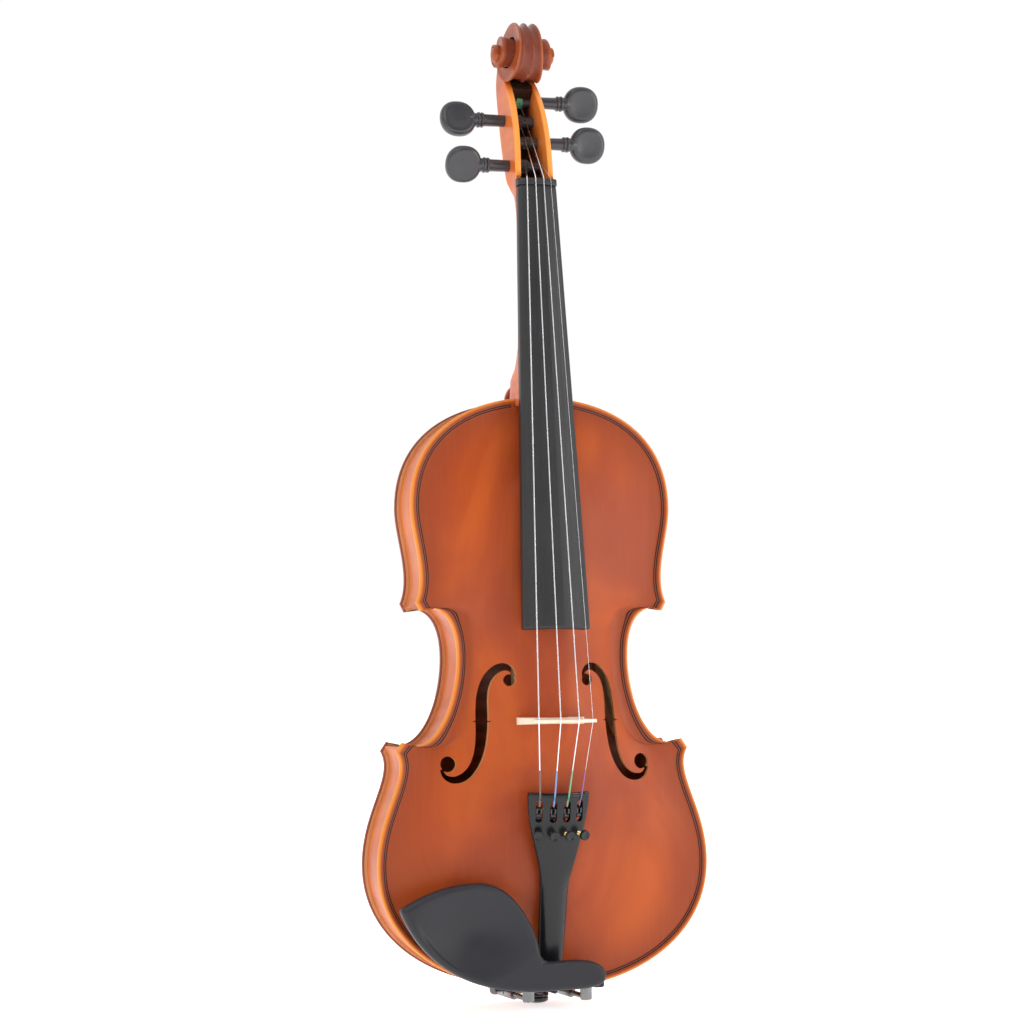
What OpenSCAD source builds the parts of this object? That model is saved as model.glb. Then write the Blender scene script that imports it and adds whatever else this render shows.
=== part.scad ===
// Full-size violin with a chin rest and four fine tuners, standing upright.
// +Z runs along the instrument towards the scroll, -Y is the front and +X the treble side.
// Inside the modules y = 0 is the face of the front plate's edge and z = 0 the body's lower edge.
// place() then puts the origin under the scroll, where a hanger's fork carries the instrument.

/* [Body] */
// Length of the sound box
body_len = 356; // [350:1:360]
// Width of the upper bout
upper_bout = 164; // [160:1:170]
// Width of the waist
waist = 108; // [104:1:114]
// Width of the lower bout
lower_bout = 208; // [202:1:212]
// Height of the ribs
rib_h = 31; // [29:0.5:32]
// Thickness of the ribs
rib_t = 1.2; // [1:0.1:1.5]
// Thickness of both plates at the edge
edge_t = 4; // [3.5:0.1:4.5]
// How far the plates stand out over the ribs
overhang = 2.7; // [2.4:0.1:3.2]
// Rise of the front plate above its edge
front_arch = 12; // [11:0.5:13]
// Rise of the back plate above its edge
back_arch = 11; // [10:0.5:12.5]
// Thickness of the arched part of both plates
plate_t = 3.1; // [2.8:0.1:3.6]

/* [Neck and fingerboard] */
// Distance from the body's upper edge to the nut
neck_stop = 132; // [128:1:134]
// Length of the fingerboard
board_len = 272; // [266:1:274]
// Width of the fingerboard at the nut
nut_w = 24; // [23.5:0.5:25]
// Width of the fingerboard at the free end
board_end_w = 42; // [41:0.5:43]
// Radius of the fingerboard's playing surface
board_r = 42; // [40:1:44]
// Half width of the scroll across its eyes
eye_half = 20; // [19.5:0.5:21]

/* [Strings and fittings] */
// Distance from the body's lower edge to the bridge
bridge_z = 161; // [159:0.5:162]
// Height of the bridge's top above the body's edge
bridge_top = 45; // [44.5:0.5:45.5]
// Length of the tailpiece
tail_len = 108; // [107:1:109]
// Radius of the peg shafts where they enter the pegbox
peg_r = 3.6; // [3.5:0.05:3.7]
// Radius of the end button's head
button_r = 7; // [6.5:0.5:7]

/* [Hidden] */
$fn = 48;

k = body_len / 356;
ub = upper_bout / 2;
wb = waist / 2;
lb = lower_bout / 2;
back_y = edge_t + rib_h;
body_depth = back_y + edge_t;
nut_z = body_len + neck_stop;
// Height that the pegbox and scroll are drawn from, a little under the nut
head_z = nut_z - 1.5;
board_end = nut_z - board_len;
running = 0.05;

// The origin: on the middle line, under the scroll's lowest turns
hanger = [0, 28, head_z + 70.5];
module place() {
    translate(-hanger) children();
}

// Colours
varnish = [0.62, 0.24, 0.08];
maple = [0.72, 0.40, 0.17];
spruce = [0.85, 0.70, 0.48];
ebony = [0.09, 0.09, 0.10];
bridge_wood = [0.87, 0.74, 0.54];
steel = [0.75, 0.76, 0.78];
brass = [0.80, 0.62, 0.28];
cork = [0.66, 0.50, 0.34];

// ---- curves -------------------------------------------------------------------------

function lerp(a, b, t) = a + (b - a) * t;
function bez(p, t) =
    pow(1 - t, 3) * p[0] + 3 * pow(1 - t, 2) * t * p[1]
    + 3 * (1 - t) * t * t * p[2] + pow(t, 3) * p[3];
function curve(p, n, first = 0) = [for (i = [first:n]) bez(p, i / n)];
function flip(pts) = [for (i = [len(pts) - 1:-1:0]) pts[i]];
function mirrored(pts) = [for (q = flip(pts)) [-q[0], q[1]]];
function unit(v) = v / norm(v);

// Points of an open curve moved d to its right-hand side
function beside(pts, d) = [for (i = [0:len(pts) - 1])
    let (a = pts[max(0, i - 1)], b = pts[min(len(pts) - 1, i + 1)], u = unit(b - a))
    pts[i] + d * [u[1], -u[0]]];

// The treble half of the outline, from the top centre to the bottom centre: upper bout, upper
// corner, C-bout, lower corner, lower bout
OUTLINE = [
    [[0, 356 * k], [45, 356 * k], [ub, 335 * k], [ub, 289.5 * k]],
    [[ub, 289.5 * k], [ub, 272 * k], [ub - 10.5, 249 * k], [ub - 2.8, 232 * k]],
    [[ub - 5.3, 227 * k], [ub - 10, 230.5 * k], [wb, 231 * k], [wb, 199 * k]],
    [[wb, 199 * k], [wb, 172 * k], [wb + 14, 138.5 * k], [lb - 15.5, 149 * k]],
    [[lb - 11.8, 143.5 * k], [lb - 21.2, 128 * k], [lb, 108 * k], [lb, 75 * k]],
    [[lb, 75 * k], [lb, 30 * k], [60, 0], [0, 0]]];
// Where each stretch of the outline points to on the middle line, as the arch rises to it
RIDGE = [[300, 282], [282, 246], [238, 199], [199, 130], [122, 84], [84, 62]] * k;
STEPS = 8;

function rib_curve(pair, n, from = 0, to = 1) = [for (s = [0, 1]) for (i = [s:n])
    bez(OUTLINE[2 * pair + s], s == 0 ? lerp(from, 1, i / n) : lerp(0, to, i / n))];

// ---- arched plates ------------------------------------------------------------------

// Each loop point is [x, z, z of its point on the middle line]
half_loop = [for (s = [0:5]) for (i = [s % 2:STEPS])
    let (q = bez(OUTLINE[s], i / STEPS)) [q[0], q[1], lerp(RIDGE[s][0], RIDGE[s][1], i / STEPS)]];
function full_loop(half) = concat(half,
    [for (i = [len(half) - 2:-1:1]) [-half[i][0], half[i][1], half[i][2]]]);

groove_t = 0.05;
summit_t = 0.93;
// Height of the arch at t, which is 0 at the outline and 1 on the middle line
function arch(t, rise) =
    t < groove_t ? -0.6 * sin(180 * t / groove_t)
    : rise * pow(sin(90 * min(1, (t - groove_t) / (summit_t - groove_t))), 1.35);

OUTER_T = [0.96, 0.8, 0.64, 0.48, 0.34, 0.22, 0.13, 0.07, 0.025, 0];
INNER_T = [0, 0.1, 0.15, 0.3, 0.5, 0.75, 0.96];
glue_t = 0.1;

// One plate with its outer face towards -y and its glued face at y = edge_t
module arched_plate(half, rise) {
    loop = full_loop(half);
    n = len(loop);
    rails = concat(
        [for (t = OUTER_T) [t, -arch(t, rise)]],
        [for (t = INNER_T) [t, t <= glue_t ? edge_t : min(edge_t, plate_t - arch(t, rise))]]);
    last = len(rails) - 1;
    points = [for (r = rails) for (q = loop)
        [q[0] * (1 - r[0]), r[1], lerp(q[1], q[2], r[0])]];
    sides = [for (r = [0:last - 1]) for (i = [0:n - 1]) let (j = (i + 1) % n)
        each [[r * n + i, (r + 1) * n + i, (r + 1) * n + j], [r * n + i, (r + 1) * n + j, r * n + j]]];
    front = [for (i = [0:n - 1]) i];
    rear = [for (i = [n - 1:-1:0]) last * n + i];
    polyhedron(points, concat([front], sides, [rear]), convexity = 8);
}

// A thin strip or block drawn in the x-z plane and raised from y0 to y1
module upright(y0, y1, pts) {
    translate([0, y1, 0]) rotate([90, 0, 0]) linear_extrude(y1 - y0) polygon(pts);
}

module both_sides() {
    children();
    mirror([1, 0, 0]) children();
}

// ---- sound holes --------------------------------------------------------------------

F_STEM = [
    [[22, 187.6], [22, 193], [27.5, 195.4], [32.6, 191.2]],
    [[32.6, 191.2], [40.8, 184.6], [40, 171], [40.4, 161.5]],
    [[40.4, 161.5], [40.9, 151], [41.6, 138], [49.2, 130.2]],
    [[49.2, 130.2], [54.4, 125], [63.6, 124.8], [64.6, 132.8]]];
F_WIDTH = [1.3, 2.7, 3.7, 2.7, 1.3];
f_upper_eye = [24.4, 185.4];
f_lower_eye = [60.9, 135.9];

module f_hole() {
    n = 7;
    mid = [for (s = [0:3]) for (i = [s == 0 ? 0 : 1:n]) bez(F_STEM[s], i / n)];
    half = [for (s = [0:3]) for (i = [s == 0 ? 0 : 1:n]) lerp(F_WIDTH[s], F_WIDTH[s + 1], i / n)];
    right = [for (i = [0:len(mid) - 1]) beside(mid, half[i])[i]];
    left = [for (i = [0:len(mid) - 1]) beside(mid, -half[i])[i]];
    translate([0, edge_t + 1, 0]) rotate([90, 0, 0]) linear_extrude(front_arch + edge_t + 4) {
        polygon(concat(right, flip(left)));
        translate(f_upper_eye) circle(r = 3.6);
        translate(f_lower_eye) circle(r = 4.7);
        // The two nicks that mark the stop
        polygon([[35, 160.6], [45.8, 163.6], [45.8, 162.2], [35, 159.2]]);
    }
}

heel_w = 33;
mortise = 6;
saddle_w = 34;
saddle_d = 6.5;

module top_plate() color(varnish) place() difference() {
    arched_plate(half_loop, front_arch);
    both_sides() f_hole();
    translate([-heel_w / 2 - 0.1, -3, body_len - mortise]) cube([heel_w + 0.2, 12, mortise + 5]);
    translate([-saddle_w / 2, -3, -3]) cube([saddle_w, 12, saddle_d + 3]);
}

button_half = 11;
button_len = 12;
// The plate, with the button that backs the neck's heel
module back_plate() color(varnish) place() {
    translate([0, body_depth, 0]) mirror([0, 1, 0]) arched_plate(half_loop, back_arch);
    upright(back_y, body_depth, concat(
        [for (a = [-90:15:90]) [button_half * sin(a), body_len + button_len - button_half * (1 - cos(a))]],
        [[button_half + 1.5, body_len - 1], [-button_half - 1.5, body_len - 1]]));
}

// ---- ribs, linings, blocks ----------------------------------------------------------

// A strip that follows the outline of one bout between two insets
module bout_strip(pair, inset, thick, y0, y1, from = 0, to = 1) {
    line = rib_curve(pair, 12, from, to);
    upright(y0, y1, concat(beside(line, inset), flip(beside(line, inset + thick))));
}

rib_from = 0.13;
corner_end = 0.955;
button_y = edge_t + rib_h / 2;
button_hole_r = 3.8;
module button_hole() {
    translate([0, button_y, -5]) cylinder(r = button_hole_r, h = 40);
}

module rib(pair, from, to) {
    bout_strip(pair, overhang, rib_t, edge_t, back_y, from, to);
}

module upper_rib_treble() color(maple) place() rib(0, rib_from, corner_end);
module upper_rib_bass() color(maple) place() mirror([1, 0, 0]) rib(0, rib_from, corner_end);
module middle_rib_treble() color(maple) place() rib(1, 1 - corner_end, corner_end);
module middle_rib_bass() color(maple) place() mirror([1, 0, 0]) rib(1, 1 - corner_end, corner_end);
module lower_rib() difference() {
    rib(2, 1 - corner_end, 0.9983);
    button_hole();
}
module lower_rib_treble() color(maple) place() lower_rib();
module lower_rib_bass() color(maple) place() mirror([1, 0, 0]) lower_rib();

// Distance in from the outline of what stands against the ribs' inner faces
rib_in = overhang + rib_t + 0.25;
lining_h = 7.5;
lining_t = 2;
// Start and end of the linings along the upper, middle and lower bouts
LINING_SPAN = [[0.3, 0.56], [0.54, 0.56], [0.44, 0.78]];

module linings(y0) {
    both_sides() for (b = [0:2])
        bout_strip(b, rib_in, lining_t, y0, y0 + lining_h,
            LINING_SPAN[b][0], LINING_SPAN[b][1]);
}
module linings_top() color(spruce) place() linings(edge_t + 0.05);
module linings_back() color(spruce) place() linings(back_y - lining_h - 0.05);

// Outline of a block that backs the ribs at one end of the body
function end_block(seg, from, to, depth_z) = let (
    line = beside([for (i = [0:6]) bez(OUTLINE[seg], lerp(from, to, i / 6))], rib_in),
    first = line[0], last = line[6])
    concat(line, [[last[0], depth_z], [first[0], depth_z]]);

module upper_block() color(spruce) place() difference() {
    both_sides() upright(edge_t + 0.05, back_y - 0.05, end_block(0, 0, 0.2, body_len - 19));
    translate([-heel_w / 2 - 0.1, 0, body_len - mortise]) cube([heel_w + 0.2, body_depth, mortise]);
}

module lower_block() color(spruce) place() difference() {
    both_sides() upright(edge_t + 0.05, back_y - 0.05, end_block(5, 0.86, 1, 18));
    button_hole();
}

// One corner block: the corner's two rib lines, joined across the inside of the body
module corner_block(seg_a, span_a, seg_b, span_b) {
    a = beside([for (i = [0:4]) bez(OUTLINE[seg_a], lerp(span_a[0], span_a[1], i / 4))], rib_in);
    b = beside([for (i = [0:4]) bez(OUTLINE[seg_b], lerp(span_b[0], span_b[1], i / 4))], rib_in);
    upright(edge_t + 0.05, back_y - 0.05, concat(a, b));
}
module corner_blocks() color(spruce) place() both_sides() {
    corner_block(1, [0.62, 0.93], 2, [0.16, 0.46]);
    corner_block(3, [0.66, 0.86], 4, [0.1, 0.36]);
}

// ---- inside the body ----------------------------------------------------------------

bar_x = -16.5;
bar_w = 5.5;
post_x = 20;
post_z = bridge_z - 6;
post_r = 3.1;

// Half width of the body at the height of the bridge, and the arch's height over a point near it
bridge_half = wb + 7;
function arch_near_bridge(x, rise) = arch(1 - abs(x) / bridge_half, rise);
function inner_front(x) = plate_t - arch_near_bridge(x, front_arch);

module bass_bar() color(spruce) place() translate([bar_x - bar_w / 2, 0, 0])
    rotate([90, 0, 90]) linear_extrude(bar_w) polygon(concat(
        [for (a = [0:10:180]) [lerp(2.4, inner_front(bar_x) + 12.5, sin(a)), lerp(63, 298, a / 180)]],
        [for (a = [180:-10:0]) [lerp(2.3, inner_front(bar_x) + 1.1, pow(sin(a), 0.55)),
            lerp(63, 298, a / 180)]]));

module sound_post() color(spruce) place() {
    y0 = inner_front(post_x - post_r) + 1.7;
    y1 = body_depth - plate_t + arch_near_bridge(post_x + post_r, back_arch) - 1.2;
    translate([post_x, y0, post_z]) rotate([-90, 0, 0]) cylinder(r = post_r, h = y1 - y0);
}

// ---- purfling -----------------------------------------------------------------------

purf_in = 3.6;
purf_w = 1.3;

// An inlaid band all round the outline, let into the plate's edge
module purfling(y0, y1) {
    for (b = [0:2]) both_sides()
        bout_strip(b, purf_in, purf_w, y0, y1, b == 0 ? 0.001 : 0.04, b == 2 ? 0.9995 : 0.965);
}
module purfling_top() color(ebony) place() difference() {
    purfling(0.45, 1.8);
    translate([-heel_w / 2 - 0.2, -3, body_len - 8]) cube([heel_w + 0.4, 12, 12]);
    translate([-saddle_w / 2 - 0.2, -3, -3]) cube([saddle_w + 0.4, 12, saddle_d + 4]);
}
module purfling_back() color(ebony) place() purfling(body_depth - 1.8, body_depth - 0.45);

// ---- neck, pegbox and scroll --------------------------------------------------------

board_slope = 0.1185;
nut_tilt = atan(board_slope);
board_edge = 5;
function sagitta(half, r) = r - sqrt(r * r - half * half);
// The plane under the fingerboard
under_nut = sagitta(nut_w / 2, board_r) + board_edge;
under_slope = (under_nut + board_slope * board_len - board_edge
    - sagitta(board_end_w / 2, board_r)) / board_len;
function under_board(z) = under_nut - under_slope * (nut_z - z);

// Rings of the neck: [z, half width, depth behind the fingerboard, squareness, taper]
NECK = [
    [body_len - mortise + 0.05, 16.4, 42.4, 0.5, 0.34],
    [body_len + 0.1, 16.2, 41.6, 0.5, 0.34],
    [body_len + 11.5, 15.8, 40.4, 0.55, 0.34],
    [body_len + 14.5, 15.6, 37, 0.6, 0.34],
    [body_len + 18, 15.4, 29.5, 0.7, 0.28],
    [body_len + 23, 15.2, 22, 0.8, 0.16],
    [body_len + 30, 15, 17.2, 0.9, 0.06],
    [body_len + 40, 14.8, 15.2, 1, 0],
    [body_len + 75, 13.8, 14.3, 1, 0],
    [body_len + 105, 12.8, 13.3, 1, 0],
    [body_len + 120, 12.3, 13.5, 1, 0],
    [body_len + 128, 12.2, 16, 0.9, 0]];
NECK_ARC = 16;

function neck_ring(s) = [for (i = [0:NECK_ARC]) let (a = 180 * i / NECK_ARC, c = cos(a))
    [s[1] * sign(c) * pow(abs(c), s[3]) * (1 - s[4] * sin(a)),
        min(back_y - 0.05, under_board(s[0]) + 0.05 + s[2] * pow(sin(a), s[3])), s[0]]];

module neck_loft() {
    n = NECK_ARC + 1;
    last = len(NECK) - 1;
    points = [for (s = NECK) each neck_ring(s)];
    sides = [for (r = [0:last - 1]) for (i = [0:n - 1]) let (j = (i + 1) % n)
        each [[r * n + i, (r + 1) * n + i, (r + 1) * n + j], [r * n + i, (r + 1) * n + j, r * n + j]]];
    polyhedron(points, concat([[for (i = [0:n - 1]) i]], sides,
        [[for (i = [n - 1:-1:0]) last * n + i]]), convexity = 4);
}

// Side view of the pegbox as [y, z], with z counted from head_z
PEGBOX_BACK = [[11.5, -12], [27, -2], [38, 19], [50, 57]];
PEGBOX_NAPE = [[50, 57], [54, 69], [54, 77], [50.4, 84]];
PEGBOX_FRONT = [[6.52, -6], [6.52, 20], [9, 47], [34, 65]];
PEGBOX_SIDE = [[12.2, -16], [11.6, 44], [9.8, 67], [9.8, 110]];

module from_side(half) {
    translate([-half, 0, head_z]) rotate([90, 0, 90]) linear_extrude(2 * half) children();
}
module from_front(y0, y1) {
    translate([0, y1, head_z]) rotate([90, 0, 0]) linear_extrude(y1 - y0) children();
}

// The scroll winds in from its back edge, over the top and down the front
scroll_eye = [29, 83.5];
function scroll_r(a) = 5 + 16.3 * exp(-pow(a / 480, 1.8));
module scroll_turn(first) {
    polygon([for (a = [first:15:first + 360])
        scroll_eye + scroll_r(a) * [cos(a), sin(a)]]);
}

peg_taper = 1 / 60;
// Pegs as [side of the head, y, z above head_z, turn of the head]
PEGS = [[-1, 21.8, 13.4, 22], [-1, 32.5, 43.2, -16], [1, 38, 56.7, 14], [1, 26.5, 29.1, 12]];
peg_in = 12;
peg_tip = -11.4;
function peg_radius(s) = peg_r + (s - peg_in) * peg_taper;

// Children drawn along +x from the middle line, moved to one peg's axis
module on_peg(i) {
    translate([0, PEGS[i][1], head_z + PEGS[i][2]])
        mirror([PEGS[i][0] < 0 ? 1 : 0, 0, 0]) children();
}
module peg_cone(from, to, gap) {
    translate([from, 0, 0]) rotate([0, 90, 0])
        cylinder(r1 = peg_radius(from) + gap, r2 = peg_radius(to) + gap, h = to - from);
}

cavity_floor = 5.1;
module pegbox() difference() {
    intersection() {
        from_side(14) polygon(concat(curve(PEGBOX_FRONT, 8), [[29, 84]], flip(curve(PEGBOX_NAPE, 4)),
            flip(curve(PEGBOX_BACK, 10))));
        from_front(-5, 62) polygon(concat(PEGBOX_SIDE, mirrored(PEGBOX_SIDE)));
    }
    intersection() {
        from_side(14) polygon(concat([[-10, 5], [22.5, 5]],
            [for (t = [0.42:0.145:1]) bez(PEGBOX_BACK, t) - [cavity_floor, 0]], [[42.5, 62], [-10, 62]]));
        from_front(-12, 62) polygon([[8.3, 0], [6.4, 66], [-6.4, 66], [-8.3, 0]]);
    }
    for (i = [0:3]) on_peg(i) peg_cone(-20, 20, running);
}

module neck() color(varnish) place() {
    neck_loft();
    pegbox();
    from_side(9.8) scroll_turn(0);
    from_side(14.5) scroll_turn(360);
    from_side(eye_half) scroll_turn(720);
}

// ---- fingerboard, nut, saddle -------------------------------------------------------

// Moves children from the board's own axes, where z = 0 is the nut and y = 0 the crown
module on_board() {
    translate([0, 0, nut_z]) rotate([-nut_tilt, 0, 0]) children();
}

module crown(r, y_top, from, to) {
    translate([0, y_top + r, from]) cylinder(r = r, h = to - from, $fn = 96);
}

module fingerboard() color(ebony) place() difference() {
    intersection() {
        on_board() crown(board_r, 0, -board_len - 10, 0);
        translate([0, 20, 0]) rotate([90, 0, 0]) linear_extrude(70) polygon([
            [nut_w / 2, nut_z - 2.6], [board_end_w / 2, board_end],
            [-board_end_w / 2, board_end], [-nut_w / 2, nut_z - 2.6]]);
        // Everything above the board's flat underside
        rotate([90, 0, 90]) translate([0, 0, -40]) linear_extrude(80) polygon([
            [under_board(nut_z), nut_z], [-60, nut_z], [-60, board_end - 5],
            [under_board(board_end - 5), board_end - 5]]);
    }
    // The hollow under the free end
    on_board() crown(board_r - 6.5, 6.5, -board_len - 11, -neck_stop - 8);
}

nut_len = 4.4;
nut_rise = 1;
STRING_X_NUT = [-7.3, -2, 3.2, 8];
// Strings are g, d, a, e
STRING_R = [0.4, 0.36, 0.34, 0.14];

module nut() color(ebony) place() on_board() intersection() {
    crown(board_r, -nut_rise, -2.5, nut_len - 2.5);
    translate([-nut_w / 2 - 0.4, -5, -2.5]) cube([nut_w + 0.8, 5 + under_nut - 0.4, nut_len]);
}

saddle_top = -4.5;
module saddle() color(ebony) place() translate([-saddle_w / 2 + 0.1, 0, 0]) rotate([90, 0, 90])
    linear_extrude(saddle_w - 0.2) polygon(concat([[edge_t - 0.05, 0.1], [edge_t - 0.05, saddle_d - 0.1]],
        [for (a = [90:-15:-90])
            [saddle_top + 3 - 3 * cos(a), saddle_d / 2 + (saddle_d / 2 - 0.1) * sin(a)]]));

// ---- end button ---------------------------------------------------------------------

button_neck = 4.4;
button_head_z = -2.6;
module end_button() color(ebony) place() translate([0, button_y, 0]) rotate_extrude() polygon(concat(
    [[0, 17], [button_hole_r - 0.35, 17], [button_hole_r - 0.05, 2.6], [button_neck, 2.6],
        [button_neck, button_head_z + 0.3], [button_r - 1, button_head_z], [button_r, button_head_z - 0.8],
        [button_r, button_head_z - 4.2]],
    [for (a = [15:15:90]) [button_r * cos(a) * 0.98, button_head_z - 4.2 - 2.6 * sin(a)]]));

// ---- pegs ---------------------------------------------------------------------------

peg_collar = 24.6;
peg_head_x = 40.6;
peg_head_r = 11;
peg_head_t = 11;

module peg(i) on_peg(i) {
    peg_cone(peg_tip, peg_collar + 0.5, 0);
    translate([peg_collar, 0, 0]) rotate([0, 90, 0]) rotate_extrude() polygon([
        [0, 0], [4, 0], [4.7, 0.6], [4.7, 1.4], [4.1, 1.9], [4.8, 2.4], [4.8, 3.4], [4.2, 4],
        [4.4, 6], [3.2, 9], [0, 9]]);
    // The thumb piece is a lens with a thick rounded rim
    translate([peg_head_x, 0, 0]) rotate([90 + PEGS[i][3], 0, 0]) rotate_extrude() polygon(concat(
        [[0, -peg_head_t * 0.30], [peg_head_r * 0.6, -peg_head_t * 0.36]],
        [for (a = [-70:20:70]) [peg_head_r - 3.2 + 3.2 * cos(a), 3.2 * sin(a)]],
        [[peg_head_r * 0.6, peg_head_t * 0.36], [0, peg_head_t * 0.30]]));
}
module peg_g() color(ebony) place() peg(0);
module peg_d() color(ebony) place() peg(1);
module peg_a() color(ebony) place() peg(2);
module peg_e() color(ebony) place() peg(3);

// Turns of string wound on each peg, as a sleeve: start along the peg and its length
WINDING = [[-0.5, 5.4], [-0.5, 5], [-2.5, 4.6], [-1.5, 4.4]];
function winding_r(i) = peg_radius(WINDING[i][0] + WINDING[i][1]) + 2 * STRING_R[i];
module winding(i) on_peg(i) translate([WINDING[i][0], 0, 0]) rotate([0, 90, 0]) difference() {
    cylinder(r = winding_r(i), h = WINDING[i][1]);
    translate([0, 0, -1]) cylinder(r = peg_radius(WINDING[i][0] + WINDING[i][1]) + 0.01, h = 9);
}
module winding_g() color(steel) place() winding(0);
module winding_d() color(steel) place() winding(1);
module winding_a() color(steel) place() winding(2);
module winding_e() color(steel) place() winding(3);

// ---- bridge -------------------------------------------------------------------------

bridge_crown_r = 41;
STRING_X_BRIDGE = [-17, -4.6, 7, 16.6];
function bridge_y(x) = -bridge_top + sagitta(x, bridge_crown_r);

foot_out = 20.75;
foot_in = 11.5;
function foot_y(x) = -arch_near_bridge(x, front_arch) - 0.02;

module bridge() color(bridge_wood) place() intersection() {
    translate([0, 0, bridge_z]) linear_extrude(8, center = true) difference() {
        polygon(concat(
            [for (x = [-18:3:18]) [x, bridge_y(x)]],
            [[19.6, -39.5], [19.4, -37.6], [17, -35.6], [15, -32.5], [14.4, -29], [15, -25.5],
                [16.8, -21.6], [19.6, -17], [foot_out, -13.4], [foot_out, foot_y(foot_out)],
                [foot_in, foot_y(foot_in)], [10, -14], [6, -16.6], [0, -17.6]],
            mirrored([[foot_in, foot_y(foot_in)], [10, -14], [6, -16.6]]),
            mirrored([[19.6, -39.5], [19.4, -37.6], [17, -35.6], [15, -32.5], [14.4, -29], [15, -25.5],
                [16.8, -21.6], [19.6, -17], [foot_out, -13.4], [foot_out, foot_y(foot_out)]])));
        both_sides() {
            translate([9.6, -26.5]) circle(r = 3.4);
            translate([9.6, -27.2]) square([7, 1.4]);
            translate([1.5, -31]) circle(r = 2);
        }
        polygon([[-3.4, -30.4], [3.4, -30.4], [0.6, -24], [-0.6, -24]]);
    }
    translate([-30, 0, bridge_z]) rotate([90, 0, 90]) linear_extrude(60)
        polygon([[0, -2.6], [0, 2.6], [-bridge_top - 1, 0.7], [-bridge_top - 1, -0.7]]);
}

// ---- tailpiece and tuners -----------------------------------------------------------

tail_top = [0, -31, 118];
tail_tilt = 11.5;
tail_r = 45;
tail_shell = 3.2;
TAIL_SIDE = [
    [[19, 0], [18.5, -28], [9.2, -38], [8.7, -62]],
    [[8.7, -62], [8.4, -80], [8.6, -95], [6.5, -tail_len]]];
STRING_LEAN = [-16.3, -5.4, 5.4, 16.3];
slot_z = [-17.3, -4.2];
slot_r = 2.3;
screw_z = -24.2;
pivot_z = -10.5;
pivot_y = 6;
pivot_r = 0.8;
screw_r = 1.2;
lever_w = 3.6;
ear_x = 2.2;
ear_t = 1.1;

// The tailpiece's own axes: z = 0 at its wide end and y = 0 at its crown
module on_tail() {
    translate(tail_top) rotate([tail_tilt, 0, 0]) children();
}
// One string's place across the crown
module on_tuner(i) {
    on_tail() translate([0, tail_r, 0]) rotate([0, 0, STRING_LEAN[i]]) translate([0, -tail_r, 0])
        children();
}
function tuner_point(i, y, z) = let (
    a = STRING_LEAN[i], r = tail_r - y, p = [r * sin(a), tail_r - r * cos(a), z])
    tail_top + [p[0], p[1] * cos(tail_tilt) - p[2] * sin(tail_tilt),
        p[1] * sin(tail_tilt) + p[2] * cos(tail_tilt)];

module across(half, r) {
    rotate([0, 90, 0]) cylinder(r = r, h = 2 * half, center = true);
}

module tailpiece() color(ebony) place() difference() {
    union() {
        on_tail() difference() {
            intersection() {
                crown(tail_r, 0, -tail_len - 1, 1);
                translate([0, 12, 0]) rotate([90, 0, 0]) linear_extrude(14) polygon(concat(
                    curve(TAIL_SIDE[0], 10), curve(TAIL_SIDE[1], 6, 1),
                    mirrored(concat(curve(TAIL_SIDE[0], 10), curve(TAIL_SIDE[1], 6, 1)))));
            }
            crown(tail_r - tail_shell, tail_shell, -64, 2);
            // The tongue's underside, kept clear of the arch
            rotate([90, 0, 90]) translate([0, 0, -25]) linear_extrude(50) polygon([[3.9, -50],
                [3.9, -86], [5.3, -tail_len - 2], [20, -tail_len - 2], [20, -50]]);
        }
        // Ears that hold the levers' pins
        for (i = [0:3]) on_tuner(i) both_sides() translate([ear_x, 2.6, pivot_z - 1.8])
            cube([ear_t, pivot_y, 3.6]);
    }
    for (i = [0:3]) on_tuner(i) {
        upright(-6, 4.5, [for (a = [0:20:340]) [slot_r * cos(a),
            (a > 180 ? slot_z[0] + slot_r : slot_z[1] - slot_r) + slot_r * sin(a)]]);
        translate([0, 9, screw_z]) rotate([90, 0, 0]) cylinder(r = screw_r + running, h = 20);
        translate([0, pivot_y, pivot_z]) across(ear_x + ear_t + 0.05, pivot_r);
    }
    // The two holes of the tailgut
    on_tail() both_sides() translate([gut_half, 3.2, -tail_len - 3]) cylinder(r = gut_r + 0.05, h = 12);
}

module tuner_pins() color(brass) place() for (i = [0:3]) on_tuner(i)
    translate([0, pivot_y, pivot_z]) across(ear_x + ear_t, pivot_r - 0.01);

module tailpiece_fret() color(ebony) place() on_tail() translate([0, 0, -2.2]) intersection() {
    difference() {
        crown(tail_r + 0.9, -0.9, 0, 1.6);
        crown(tail_r, 0.02, -1, 4);
    }
    translate([-17.5, -3, 0]) cube([35, 9, 3]);
}

module tuner_lever(i) on_tuner(i) translate([0, pivot_y, pivot_z]) difference() {
    union() {
        across(lever_w / 2, 1.9);
        // The arm under the screw
        translate([-lever_w / 2, 0.5, -15.8]) cube([lever_w, 1.4, 16]);
        // The fork that holds the string
        translate([-1.9, -5.6, -1.9]) cube([3.8, 6, 3.2]);
        // The string's ball, caught behind the fork
        translate([0, -4.3, -3]) rotate([0, 90, 0]) cylinder(r = 1.5, h = 3, center = true);
    }
    across(4, pivot_r + running);
    translate([-0.7, -6, -1.6]) cube([1.4, 3.2, 4]);
}
module tuner_lever_g() color(steel) place() tuner_lever(0);
module tuner_lever_d() color(steel) place() tuner_lever(1);
module tuner_lever_a() color(steel) place() tuner_lever(2);
module tuner_lever_e() color(steel) place() tuner_lever(3);

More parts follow.
